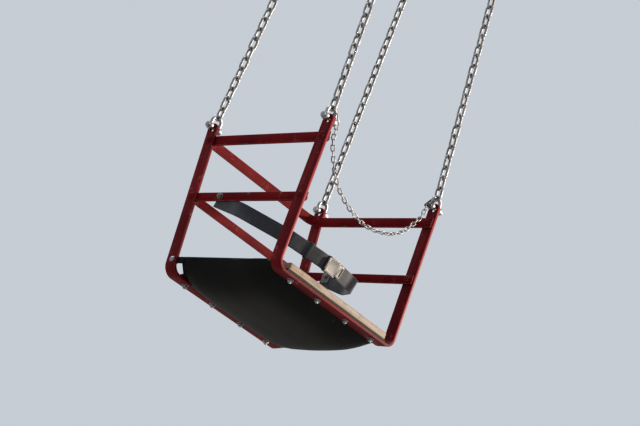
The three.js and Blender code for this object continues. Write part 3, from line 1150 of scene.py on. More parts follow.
def merged_copy(node: str, reach: float = 2e-6, flat: float = 0.6) -> BMesh:
    """A CAD node's solid with its triangles joined to flat faces.

    Args:
        node: the node's name.
        reach: corners nearer than this are one.
        flat: faces that meet at less than this many degrees are one.

    Returns:
        The mesh.
    """
    mesh = bmesh.new()
    mesh.from_mesh(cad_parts[node].data)
    bmesh.ops.remove_doubles(mesh, verts=mesh.verts, dist=reach)
    limit = math.radians(flat)
    bmesh.ops.dissolve_limit(mesh, angle_limit=limit, verts=mesh.verts, edges=mesh.edges)
    return closed_up(mesh)


def fit_piece(
    name: str,
    mesh: BMesh,
    coating: Coating,
    stands_for: Sequence[str] = (),
    crease: float = 38.0,
    body: Body = Body.CHAIR,
) -> Object:
    """Turns a mesh into a finished piece that rides on its body.

    Args:
        name: the piece's name.
        mesh: its mesh, freed.
        coating: its finish.
        stands_for: the CAD nodes that it replaces.
        crease: edges sharper than this many degrees stay sharp.
        body: the body it rides on.

    Returns:
        The piece.
    """
    limit = math.radians(crease)
    for face in mesh.faces:
        face.smooth = True
    for edge in mesh.edges:
        edge.smooth = edge.is_manifold and edge.calc_face_angle(0.0) < limit
    data = stored(name, mesh)
    data.materials.append(coating.material)
    piece = shown(name, data)
    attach(piece, body.value)
    if stands_for:
        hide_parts(*stands_for)
    LOG.info("%s: %d faces", name, len(data.polygons))
    return piece


# Stock parts, in millimetres
@dataclass(frozen=True)
class Turned:
    """Round or, with six sides, hexagonal stock with eased edges."""

    radius: float
    long: float
    ease: float
    sides: int
    steps: int = 2

    def blank(self, middle: Vector, axis: Vector, spin: float = 0.0) -> BMesh:
        """The part in its place, turned about its axis, before its edges are eased."""
        return disc(self.radius * MM, self.long * MM, middle, axis, self.sides, spin)

    def at(self, middle: Vector, axis: Vector, spin: float = 0.0) -> BMesh:
        """The finished part in its place, turned about its axis by some radians."""
        return soften(self.blank(middle, axis, spin), self.ease * MM, self.steps)


@dataclass(frozen=True)
class Plate:
    """Flat stock with round corners along one direction, eased edges and at most one window."""

    size: Triple
    along: Vector
    corner: float
    ease: float
    steps: int = 2
    corner_steps: int = 5
    window: Optional[Triple] = None
    window_x: float = 0.0

    def blank(self, middle: Vector) -> BMesh:
        """The plate in its place, before its edges are eased.

        Args:
            middle: its middle.

        Returns:
            The mesh.
        """
        mesh = block(self.size, middle)
        if self.corner:
            round_corners(mesh, self.along, self.corner * MM, self.corner_steps)
        if self.window:
            mesh = carve(mesh, block(self.window, middle + X * self.window_x * MM))
        return mesh

    def at(self, middle: Vector) -> BMesh:
        """The finished plate in its place."""
        return soften(self.blank(middle), self.ease * MM, self.steps)


@dataclass(frozen=True)
class DomedBolt:
    """A domed bolt with nut and washers: sizes are shares of its head, save the washers' thickness."""

    head: float
    washer: float = 1.5
    washer_wide: float = 1.2
    dome_high: float = 0.62
    nut_wide: float = 1.04
    nut_high: float = 0.78
    nut_spin: float = 0.3
    shank_wide: float = 0.56
    stub_long: float = 0.84

    def through(self, top: Vector, tail: Vector, out: Vector) -> list[BMesh]:
        """The bolt through what it holds.

        Args:
            top: where the head's washer lies on the work.
            tail: where the nut's washer lies on the other side.
            out: the way the head stands out.

        Returns:
            The bolt's meshes.
        """
        size, high = self.head, self.head * self.nut_high
        washer = Turned(size * self.washer_wide, self.washer, 0.4, 24, 1)
        nut = Turned(size * self.nut_wide, high, 0.7, 6)
        stub = Turned(size * self.shank_wide, size * self.stub_long, 0.7, 16, 1)
        step = out * self.washer * MM
        return [
            washer.at(top + step / 2, out),
            dome(size * MM, size * self.dome_high * MM, top + step, out),
            washer.at(tail - step / 2, out),
            nut.at(tail - step - out * high / 2 * MM, out, self.nut_spin),
            stub.at(tail - step - out * high * MM, out),
        ]


# Sub-assemblies
@dataclass(frozen=True)
class ChairPlan:
    """Sizes in millimetres that the chair's pieces share, from the chair's zero under the seat."""

    zero: Triple = (0.0, -22.5, -3250.0)
    half_width: float = 250.0
    front_y: float = -195.0
    rear_y: float = 195.0
    rear_drop: float = 28.0
    rod_high: float = 452.0
    rear_run: float = 52.0
    rear_rise: float = 468.0
    bar_wide: float = 36.0
    bar_thick: float = 8.0
    rail_heights: tuple[float, float] = (388.0, 208.0)
    rail_inner_x: float = 239.7
    rail_outer_x: float = 245.7
    eye_drop: float = 18.0
    seat_bolts: tuple[float, ...] = (-178.0, -62.0, 62.0, 178.0)

    def at(self, x: float, y: float, z: float) -> Vector:
        """A point in metres in the frame, from millimetres off the chair's zero."""
        return Vector((self.zero[0] + x, self.zero[1] + y, self.zero[2] + z)) * MM

    @property
    def rod_outer_x(self) -> float:
        """Where the rods' outer faces are."""
        return self.half_width + self.bar_thick / 2

    @property
    def rear_up(self) -> Vector:
        """The way the rear rods point."""
        return Vector((0.0, self.rear_run, self.rear_rise)).normalized()

    @property
    def rear_long(self) -> float:
        """Length of a rear rod."""
        return math.hypot(self.rear_run, self.rear_rise)

    def rear_rod_y(self, z: float) -> float:
        """Where the rear rods' middle line is at a height."""
        return self.rear_y + (z + self.rear_drop) * self.rear_run / self.rear_rise

    def front_eye(self, side: int) -> Vector:
        """Middle of a front rod's eye."""
        return self.at(side * self.half_width, self.front_y, self.rod_high - self.eye_drop)

    def rear_eye(self, side: int) -> Vector:
        """Middle of a rear rod's eye."""
        foot = self.at(side * self.half_width, self.rear_y, -self.rear_drop)
        return foot + self.rear_up * (self.rear_long - self.eye_drop) * MM


PLAN = ChairPlan()


@dataclass
class SubAssembly:
    """Pieces that are built together."""

    finishes: Finishes
    dice: random.Random

    def build(self) -> None:
        """Builds the pieces."""
        raise NotImplementedError


@dataclass
class FlatBarFrame(SubAssembly):
    """Two hoops and two rails of flat bar: the chair's feet, open sides and back."""

    corner: float = 30 * MM
    rail_thick: float = 6 * MM
    rail_corner: float = 34 * MM
    drill: Turned = Turned(9.0, 30.0, 0.0, 28)
    rounding: float = 1.3 * MM
    bend_steps: int = 14
    front_facing: float = -0.9
    bolt: DomedBolt = DomedBolt(9.5)

    def _hoop(self, foot: Vector, up: Vector, height: float) -> BMesh:
        """Bends one hoop under the seat, with a round eye at each top.

        Args:
            foot: middle of the bar under the seat.
            up: direction of its rods.
            height: length of a rod above the bar.

        Returns:
            The hoop.
        """
        half = PLAN.half_width * MM
        wide = PLAN.bar_wide * MM
        tip = wide / 2
        rod = height - tip
        start = foot - X * half + up * (rod + tip * BarBender.tip_reach())
        section = flat_section(wide * BarBender.tip_width(), PLAN.bar_thick * MM)
        bender = BarBender(section, start, -up, up.cross(X)).rounded_tip(tip, opening=True)
        bender.straight(rod - self.corner).bend(self.corner, 90, X, self.bend_steps)
        bender.straight(2 * (half - self.corner)).bend(self.corner, 90, up, self.bend_steps)
        bender.straight(rod - self.corner).rounded_tip(tip)
        cutters = [self.drill.blank(foot + X * half * side + up * rod, X) for side in SIDES]
        return soften(carve(bender.capped(), *cutters), self.rounding)

    def _rubbed(self, mesh: BMesh) -> BMesh:
        """Marks the rods' faces that look forward for a painted highlight, standing in for the low sun on
        them.

        The mark fades out through the bends, so the bar under the seat gets none.

        Args:
            mesh: the front hoop, changed in place.

        Returns:
            The same mesh.
        """
        mesh.normal_update()
        # The rub mark here holds the painted highlight.
        rubbed = marks(mesh, Mark.RUBBED)
        foot = PLAN.at(0, 0, 0).z
        for face in mesh.faces:
            if face.normal.y < self.front_facing:
                rise = face.calc_center_median().z - foot
                face[rubbed] = min(max(rise / self.corner, 0.0), 1.0)
        return mesh

    def _rail(self, node: str) -> BMesh:
        """Bends one rail round the sides and the back.

        Args:
            node: the rail's CAD node, which gives its place.

        Returns:
            The rail.
        """
        low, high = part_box(node)
        x = high.x - self.rail_thick / 2
        start = Vector((-x, low.y, (low.z + high.z) / 2))
        run = high.y - low.y - self.rail_thick / 2 - self.rail_corner
        bender = BarBender(flat_section(self.rail_thick, high.z - low.z), start, Y, X)
        bender.straight(run).bend(self.rail_corner, 90, X, self.bend_steps)
        bender.straight(2 * (x - self.rail_corner)).bend(self.rail_corner, 90, -Y, self.bend_steps)
        return soften(bender.straight(run).capped(), self.rounding)

    def _rail_bolts(self) -> BMesh:
        """Domed bolts that hold the rails to the rods.

        Returns:
            Every bolt with its washers and nut.
        """
        bolts = []
        for side in SIDES:
            for z in PLAN.rail_heights:
                for y in (PLAN.front_y, PLAN.rear_rod_y(z)):
                    top = PLAN.at(side * PLAN.rod_outer_x, y, z)
                    tail = PLAN.at(side * PLAN.rail_inner_x, y, z)
                    bolts += self.bolt.through(top, tail, X * side)
        return gathered(*bolts)

    def build(self) -> None:
        """Builds the hoops, the rails and the bolts that join them."""
        red = self.finishes.red
        front = self._hoop(PLAN.at(0, PLAN.front_y, 0), Z, PLAN.rod_high * MM)
        # The front rods get a painted sun highlight on their forward faces.
        fit_piece("front_hoop_bar", self._rubbed(front), red, ["front_hoop"])
        rear_foot = PLAN.at(0, PLAN.rear_y, -PLAN.rear_drop)
        rear = self._hoop(rear_foot, PLAN.rear_up, PLAN.rear_long * MM)
        fit_piece("rear_hoop_bar", rear, red, ["rear_hoop"])
        for node in ("top_rail", "arm_rail"):
            fit_piece(f"{node}_bar", self._rail(node), self.finishes.rail_red, [node])
        fit_piece("rail_bolts", self._rail_bolts(), red)


@dataclass
class Seat(SubAssembly):
    """Black moulded pan between the two hoops, its bolts and the bare wooden strip in front.

    The rows say, from front to back, how far a place is from the chair's zero, the pan's half
    width there, and how high the pan lies in its middle and at its sides, in millimetres.
    """

    rows: tuple[tuple[float, float, float, float], ...] = (
        (-213, 216, 6.8, 6.8),
        (-181, 216, 6.8, 6.8),
        (-175, 216, 7.1, 7.4),
        (-167, 243.1, 1.8, 18),
        (-149, 243.1, -19, 19),
        (-121, 243.1, -38, 19),
        (-85, 243.1, -48, 18),
        (-30, 243.1, -54, 18),
        (25, 243.1, -57, 18),
        (75, 243.1, -57, 18),
        (115, 243.1, -54, 18),
        (146, 243.1, -46, 18),
        (168, 243.1, -34, 17),
        (174, 216, -18.5, -17.2),
        (212, 216, -22.9, -22.9),
    )
    columns: int = 52
    row_gap: float = 6.5
    side_rise: int = 7
    wall: float = 5.0
    edge_round: float = 1.8
    edge_angle: float = 55.0
    rim_from: float = -158.0
    rim_run: float = 362.0
    rim_level_from: float = 160.0
    rim_steps: int = 56
    rim_off: tuple[float, float] = (-2.2, 1.2)
    rim_radius: float = 4.2
    tab: Plate = Plate((5.0, 46.0, 15.0), X, 5.0, 1.2)
    tab_at: Triple = (243.1, 183.0, 10.5)
    tab_bolt: DomedBolt = DomedBolt(7.0)
    tab_bolt_y: float = 197.0
    tab_inner_x: float = 240.6
    lip_bolt: DomedBolt = DomedBolt(8.0)
    lip_grip: tuple[float, float] = (9.3, -4.0)
    strip_nut: tuple[tuple[Turned, float], ...] = (
        (Turned(9.0, 1.5, 0.4, 20, 1), -0.75),
        (Turned(7.4, 6.0, 0.6, 6), -4.5),
        (Turned(3.8, 7.0, 0.5, 14, 1), -7.0),
    )
    screw: Turned = Turned(6.2, 4.0, 0.5, 24, 1)
    screw_up: float = -1.4
    socket: Turned = Turned(2.6, 5.0, 0.0, 6)
    socket_up: float = 1.2
    plank_round: float = 3.0

    def _slope(self, k: int, column: int) -> float:
        """How steeply one of the pan's sizes changes at a row, nought where it turns round.

        Args:
            k: the row.
            column: the size's place in the row.

        Returns:
            The slope.
        """
        here, before = self.rows[k], self.rows[max(k - 1, 0)]
        after = self.rows[min(k + 1, len(self.rows) - 1)]
        left = (here[column] - before[column]) / max(here[0] - before[0], TINY)
        right = (after[column] - here[column]) / max(after[0] - here[0], TINY)
        return 2 * left * right / (left + right) if left * right > 0 else 0.0

    def _shape(self, y: float) -> tuple[float, ...]:
        """The pan's half width, middle height and side height at one place along it.

        Args:
            y: the place, in millimetres from the chair's zero.

        Returns:
            The three sizes, carried smoothly through the rows without overshoot.
        """
        k = max(k for k, row in enumerate(self.rows[:-1]) if row[0] <= y + TINY)
        low, high = self.rows[k], self.rows[k + 1]
        gap = high[0] - low[0]
        t = (y - low[0]) / gap
        ease = 3 * t ** 2 - 2 * t ** 3
        leave = (t ** 3 - 2 * t ** 2 + t) * gap
        arrive = (t ** 3 - t ** 2) * gap
        return tuple(
            low[n] + (high[n] - low[n]) * ease + leave * self._slope(k, n) + arrive * self._slope(k + 1, n)
            for n in range(1, len(low))
        )

    def _pan(self) -> BMesh:
        """Presses a grid to the pan's middle surface.

        Returns:
            The surface, without thickness.
        """
        stations = []
        for row, following in zip(self.rows, self.rows[1:]):
            count = max(1, math.ceil((following[0] - row[0]) / self.row_gap))
            stations += [row[0] + (following[0] - row[0]) * k / count for k in range(count)]
        stations.append(self.rows[-1][0])
        mesh = bmesh.new()
        last = len(stations) - 1
        bmesh.ops.create_grid(mesh, x_segments=self.columns, y_segments=last, size=0.5)
        shapes = [self._shape(y) for y in stations]
        for corner in mesh.verts:
            row = round((corner.co.y + 0.5) * last)
            half, middle, rim = shapes[row]
            share = math.sin(corner.co.x * math.pi)
            high = middle + (rim - middle) * abs(share) ** self.side_rise
            corner.co = PLAN.at(half * share, stations[row], high)
        return mesh

    def _rims(self) -> list[BMesh]:
        """Rolled beads along the pan's two side edges.

        Returns:
            The beads.
        """
        beads = []
        section = round_section(self.rim_radius * MM, 10)
        for side in SIDES:
            way = []
            for k in range(self.rim_steps + 1):
                y = self.rim_from + self.rim_run * k / self.rim_steps
                half, _, rim = self._shape(min(y, self.rim_level_from))
                way.append(PLAN.at(side * (half + self.rim_off[0]), y, rim + self.rim_off[1]))
            beads.append(soften(run_along(way, section, X * side), 1 * MM, 1, 60))
        return beads

    def _tabs(self) -> list[BMesh]:
        """Tabs that carry the pan's sides on to the rear rods."""
        x, y, z = self.tab_at
        return [self.tab.at(PLAN.at(side * x, y, z)) for side in SIDES]

    def _bolts(self) -> BMesh:
        """Bolts through the pan's tabs and rear lip, and the strip's nuts under the front bar.

        Returns:
            The bolts.
        """
        parts = []
        y, z = self.tab_bolt_y, self.tab_at[2]
        for side in SIDES:
            outer = PLAN.at(side * PLAN.rod_outer_x, y, z)
            inner = PLAN.at(side * self.tab_inner_x, y, z)
            parts += self.tab_bolt.through(outer, inner, X * side)
        up = PLAN.rear_up
        for x in PLAN.seat_bolts:
            foot = PLAN.at(x, PLAN.rear_y, -PLAN.rear_drop)
            top, tail = (foot + up * off * MM for off in self.lip_grip)
            parts += self.lip_bolt.through(top, tail, up)
            under = PLAN.at(x, PLAN.front_y, -PLAN.bar_thick / 2)
            parts += [part.at(under + Z * off * MM, Z) for part, off in self.strip_nut]
        return gathered(*parts)

    def _screws(self) -> BMesh:
        """Flat screw heads let into the wooden strip.

        Returns:
            The screw heads.
        """
        heads = []
        for x in PLAN.seat_bolts:
            top = PLAN.at(x, PLAN.front_y, 0)
            top.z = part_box("seat_front_strip")[1].z
            head = self.screw.blank(top + Z * self.screw_up * MM, Z)
            socket = self.socket.blank(top + Z * self.socket_up * MM, Z)
            heads.append(soften(carve(head, socket), self.screw.ease * MM, self.screw.steps))
        return gathered(*heads)

    def build(self) -> None:
        """Builds the pan, its rims and bolts, and the strip."""
        seat, plain = self.finishes.seat, self.finishes.plain
        pan = fit_piece("moulded_pan", self._pan(), seat, ["seat_pan"], 60)
        wall = pan.modifiers.new("wall", "SOLIDIFY")
        wall.thickness = self.wall * MM
        wall.offset = 0.0
        wall.use_even_offset = True
        edge = pan.modifiers.new("edge", "BEVEL")
        edge.width = self.edge_round * MM
        edge.segments = 3
        edge.limit_method = "ANGLE"
        edge.angle_limit = math.radians(self.edge_angle)
        fit_piece("pan_rims", gathered(*self._rims(), *self._tabs()), seat)
        fit_piece("pan_bolts", self._bolts(), plain)
        plank = soften(merged_copy("seat_front_strip"), self.plank_round * MM, 4)
        fit_piece("wooden_strip", plank, self.finishes.wood, ["seat_front_strip"])
        fit_piece("strip_screws", self._screws(), plain)


@dataclass(frozen=True)
class LinkShape:
    """One welded chain link: wire, outer width and inner length, in metres."""

    wire: float
    wide: float
    inner: float
    sides: int = 6
    steps: int = 7
    rub_from: float = 0.8
    rub_inside: float = 1.3
    rub_outside: float = 0.7

    @property
    def straight(self) -> float:
        """Length of a link's straight side."""
        return self.inner + 2 * self.wire - self.wide

    def made(self) -> Mesh:
        """Bends the link round its middle, long way along Z, in the XZ plane.

        Returns:
            The mesh, with its rubbed ends marked.
        """
        radius = (self.wide - self.wire) / 2
        half = self.straight / 2
        start = Vector((-radius, 0.0, -half))
        bender = BarBender(round_section(self.wire / 2, self.sides), start, Z, X)
        bender.straight(self.straight).bend(radius, 180, X, self.steps)
        bender.straight(self.straight).bend(radius, 180, -X, self.steps)
        mesh = bender.joined()
        rubbed = marks(mesh, Mark.RUBBED)
        first = half * self.rub_from
        for face in mesh.faces:
            middle = face.calc_center_median()
            inside = math.hypot(middle.x, max(abs(middle.z) - half, 0.0)) < radius
            past = max(abs(middle.z) - first, 0.0) / (radius + half - first)
            face[rubbed] = min(past * (self.rub_inside if inside else self.rub_outside), 1.0)
            face.smooth = True
        return stored("link", mesh)


def strung(link: Mesh, places: Sequence[Matrix]) -> BMesh:
    """Sets one link at every place.

    Args:
        link: the link's mesh, removed afterwards.
        places: where each one goes.

    Returns:
        The whole chain.
    """
    chain = bmesh.new()
    for place in places:
        part = link.copy()
        part.transform(place)
        chain.from_mesh(part)
        bpy.data.meshes.remove(part)
    bpy.data.meshes.remove(link)
    return chain


def facing(at: Vector, along: Vector, across: Vector, spin: float = 0.0) -> Matrix:
    """Place of a link: its length along one way, its flat side turned about it.

    Args:
        at: the link's middle.
        along: the way its length points.
        across: rough direction of its flat side.
        spin: turn about its length in radians.

    Returns:
        The place as a matrix.
    """
    up = along.normalized()
    side = (across - up * across.dot(up)).normalized()
    turn = Matrix((side, up.cross(side), up)).transposed().to_4x4()
    return Matrix.Translation(at) @ turn @ Matrix.Rotation(spin, 4, "Z")


def odd_count(length: float, pitch: float) -> int:
    """The odd number of links that fills a length best, so that both end links face alike."""
    count = round(length / pitch)
    return count + 1 - count % 2


class Corner(Enum):
    """The four corners that the chair hangs from, by side and end."""

    FRONT_LEFT = (-1, -1)
    FRONT_RIGHT = (1, -1)
    REAR_LEFT = (-1, 1)
    REAR_RIGHT = (1, 1)


@dataclass
class Suspension(SubAssembly):
    """Four galvanised link chains and the eight shackles that end them."""

    wire: float = 8 * MM
    wide: float = 27 * MM
    pitch: float = 34.5 * MM
    twist: float = 5.0
    bow_wire: float = 10 * MM
    bow_half: float = 17 * MM
    bow_high: float = 36 * MM
    bow_foot: float = 8 * MM
    bow_sides: int = 14
    pin_seat: float = 3.7 * MM
    ear: Turned = Turned(11.0, 10.0, 1.4, 26)
    shank: Turned = Turned(4.9, 55.0, 0.8, 18)
    shank_off: float = 3.5 * MM
    head: Turned = Turned(8.6, 4.5, 1.1, 24)
    head_off: float = -24.3 * MM
    nut: Turned = Turned(9.0, 6.5, 0.8, 6)
    nut_off: float = 25.3 * MM
    hanger_eye: Triple = (180 * MM, 80 * MM, -276.3 * MM)

    def _shackle(self, eye: Vector, run: Vector, out: Vector) -> BMesh:
        """Makes one bow shackle, its pin through the eye.

        Args:
            eye: middle of the eye.
            run: the way the chain leaves.
            out: rough direction of the pin's nut.

        Returns:
            The shackle.
        """
        side = (out - run * out.dot(run)).normalized()
        pin = eye + run * self.pin_seat
        leg = self.bow_high - self.bow_half - self.bow_foot
        start = pin - side * self.bow_half + run * self.bow_foot
        bow = BarBender(round_section(self.bow_wire / 2, self.bow_sides), start, run, side)
        bow.straight(leg).bend(self.bow_half, 180, side, self.bow_sides).straight(leg)
        ears = [self.ear.at(pin + side * self.bow_half * way, side) for way in SIDES]
        return gathered(
            bow.capped(),
            *ears,
            self.shank.at(pin + side * self.shank_off, side),
            self.head.at(pin + side * self.head_off, side),
            self.nut.at(pin + side * self.nut_off, side, self.dice.uniform(0, 1)),
        )

    def _chain(self, low: Vector, high: Vector) -> BMesh:
        """Strings the links from one shackle's crown to the other's.

        Args:
            low: middle of the lower end link's end wire.
            high: the same at the top.

        Returns:
            The chain.
        """
        run = (high - low).normalized()
        free = (high - low).length - self.wire
        count = odd_count(free, self.pitch)
        pitch = free / count
        places = []
        for k in range(count):
            at = low + run * (self.wire / 2 + pitch * (k + 0.5))
            end = k in (0, count - 1)
            spin = 0.0 if end else math.radians(self.dice.uniform(-self.twist, self.twist))
            places.append(facing(at, run, X if k % 2 else Y, spin))
        return strung(LinkShape(self.wire, self.wide, pitch).made(), places)

    def build(self) -> None:
        """Builds the chains and their shackles, corner by corner."""
        crown = self.pin_seat + self.bow_high - (self.bow_wire + self.wire) / 2
        x, y, z = self.hanger_eye
        for corner in Corner:
            side, end = corner.value
            name = corner.name.lower()
            low = PLAN.front_eye(side) if end < 0 else PLAN.rear_eye(side)
            high = Vector((side * x, end * y, z))
            run = (high - low).normalized()
            for label, eye, way in (("lower", low, run), ("upper", high, -run)):
                mesh = self._shackle(eye, way, X * side)
                node = f"{label}_shackle_{name}"
                fit_piece(f"{label}_bow_{name}", mesh, self.finishes.plain, [node])
            links = self._chain(low + run * crown, high - run * crown)
            fit_piece(f"links_{name}", links, self.finishes.chain, [f"chain_{name}"], 80)


@dataclass
class SafetyChain(SubAssembly):
    """Light chain slung between the front rods, with a snap hook at the right end."""

    wire: float = 3.4 * MM
    wide: float = 13 * MM
    pitch: float = 15.5 * MM
    twist: float = 9.0
    step: float = 1 * MM
    ring: LinkShape = LinkShape(4 * MM, 20 * MM, 28 * MM, 12, 12)
    ring_steps: int = 36
    ring_lap: int = 7
    bow: LinkShape = LinkShape(5.2 * MM, 24 * MM, 39.6 * MM, 12, 12)
    bow_steps: int = 50
    bow_lap: int = 9
    gate: Turned = Turned(3.6, 15.0, 0.8, 16)
    gate_off: float = 9.4 * MM
    collar: Turned = Turned(5.0, 7.0, 1.0, 20)
    collar_up: float = 3 * MM
    half_way: tuple[tuple[float, float], ...] = (
        (237.5, 462.5),
        (216.5, 437.0),
        (203.0, 380.0),
        (130.0, 294.0),
        (0.0, 256.0),
    )

    def _way(self) -> list[Vector]:
        """The line that the chain hangs in.

        Returns:
            A point at every step, from left to right.
        """
        left = [PLAN.at(-x, PLAN.front_y, z) for x, z in self.half_way]
        right = [PLAN.at(x, PLAN.front_y, z) for x, z in reversed(self.half_way[:-1])]
        return even_way(smooth_way(left + right, 24), self.step)

    def _links(self, way: Sequence[Vector]) -> BMesh:
        """Strings the links, each a quarter turn from the next.

        Args:
            way: the line that they hang in.

        Returns:
            The links.
        """
        last = len(way) - 1
        length = last * (way[1] - way[0]).length
        count = odd_count(length, self.pitch)
        places = []
        for k in range(count):
            at = (k + 0.5) / count * last
            low = int(at)
            middle = way[low].lerp(way[min(low + 1, last)], at - low)
            ahead = way[min(low + 6, last)] - way[max(low - 6, 0)]
            turn = math.pi / 4 if k % 2 else -math.pi / 4
            turn += math.radians(self.dice.uniform(-self.twist, self.twist))
            places.append(facing(middle, ahead, Y, turn))
        return strung(LinkShape(self.wire, self.wide, length / count).made(), places)

    def _hook(self, low: Vector, high: Vector) -> BMesh:
        """Makes the snap hook between the chain and the rod's shackle.

        Args:
            low: where the chain ends.
            high: where the hook catches.

        Returns:
            The hook.
        """
        along = (high - low).normalized()
        middle = (low + high) / 2
        side = -(Y - along * Y.dot(along)).normalized()
        return gathered(
            strung(self.bow.made(), [facing(middle, along, Y)]),
            self.gate.at(middle + side * self.gate_off, along),
            self.collar.at(low + along * self.collar_up, along),
        )

    def build(self) -> None:
        """Builds the links, the end ring and the hook."""
        way = self._way()
        start = self.ring_steps - self.ring_lap
        end = len(way) - self.bow_steps + self.bow_lap
        links = self._links(way[start:end])
        fit_piece("safety_links", links, self.finishes.chain, ["safety_chain"], 80)
        ahead = way[start] - way[0]
        oval = strung(self.ring.made(), [facing((way[0] + way[start]) / 2, ahead, Y)])
        fit_piece("end_ring", oval, self.finishes.plain, (), 80)
        fit_piece("snap_hook", self._hook(way[end - 1], way[-1]), self.finishes.dark, (), 80)


@dataclass(frozen=True)
class LiftBuckle:
    """Lift-latch buckle in the belt's plane, in millimetres off the belt's outer face."""

    face: float = -273.5
    tray: Plate = Plate((56.0, 2.2, 48.0), Y, 6.0, 0.6)
    tray_off: float = 1.1
    wall: Plate = Plate((46.0, 8.5, 2.4), Z, 3.0, 0.6)
    wall_off: float = 4.6
    wall_z: float = 21.5
    cover: Plate = Plate((44.0, 2.8, 40.0), Y, 7.0, 0.5, corner_steps=6)
    cover_x: float = -3.0
    cover_off: float = 8.4
    cover_rim: float = 4.0
    cover_dip: float = 0.8
    lip: Plate = Plate((8.0, 4.4, 34.0), Z, 1.8, 0.5)
    lip_x: float = -24.0
    lip_off: float = 10.0
    rib: Plate = Plate((6.4, 1.4, 1.6), Z, 0.0, 0.4, 1)
    rib_off: float = 12.4
    rib_gap: float = 4.4
    pin: Turned = Turned(2.6, 47.0, 0.8, 18)
    pin_x: float = 18.0
    pin_off: float = 6.0
    tongue: Plate = Plate((22.0, 2.4, 36.0), Y, 4.0, 0.5, window=(5.0, 8.0, 26.0), window_x=5.0)
    tongue_x: float = 34.0
    tongue_off: float = 3.6
    rivet: tuple[float, float] = (2.6, 1.4)
    rivet_x: float = 22.0
    rivet_off: float = 2.2
    rivet_z: float = 14.0

    def _spot(self, x: float, off: float, z: float = 0.0) -> Vector:
        """A place in front of the belt's outer face."""
        return Vector((x, self.face - off, z)) * MM

    def _lid(self) -> BMesh:
        """The cover with the sunk panel in its front.

        Returns:
            The cover.
        """
        cover = self.cover.blank(self._spot(self.cover_x, self.cover_off))
        front = [face for face in cover.faces if face.normal.y < -NEARLY_ALONG]
        bmesh.ops.inset_region(
            cover, faces=front, thickness=self.cover_rim * MM, depth=-self.cover_dip * MM
        )
        return soften(cover, self.cover.ease * MM, angle=30)

    def made(self) -> BMesh:
        """Puts the buckle together from tray, walls, cover, ribbed lip, pin, tongue and rivets.

        Returns:
            The buckle.
        """
        parts = [self.tray.at(self._spot(0.0, self.tray_off)), self._lid()]
        parts.append(self.lip.at(self._spot(self.lip_x, self.lip_off)))
        parts.append(self.pin.at(self._spot(self.pin_x, self.pin_off), Z))
        parts.append(self.tongue.at(self._spot(self.tongue_x, self.tongue_off)))
        for k in range(-3, 4):
            parts.append(self.rib.at(self._spot(self.lip_x, self.rib_off, k * self.rib_gap)))
        radius, high = (size * MM for size in self.rivet)
        for edge in SIDES:
            parts.append(self.wall.at(self._spot(0.0, self.wall_off, edge * self.wall_z)))
            foot = self._spot(self.rivet_x, self.rivet_off, edge * self.rivet_z)
            parts.append(dome(radius, high, foot, -Y, 14))
        return gathered(*parts)


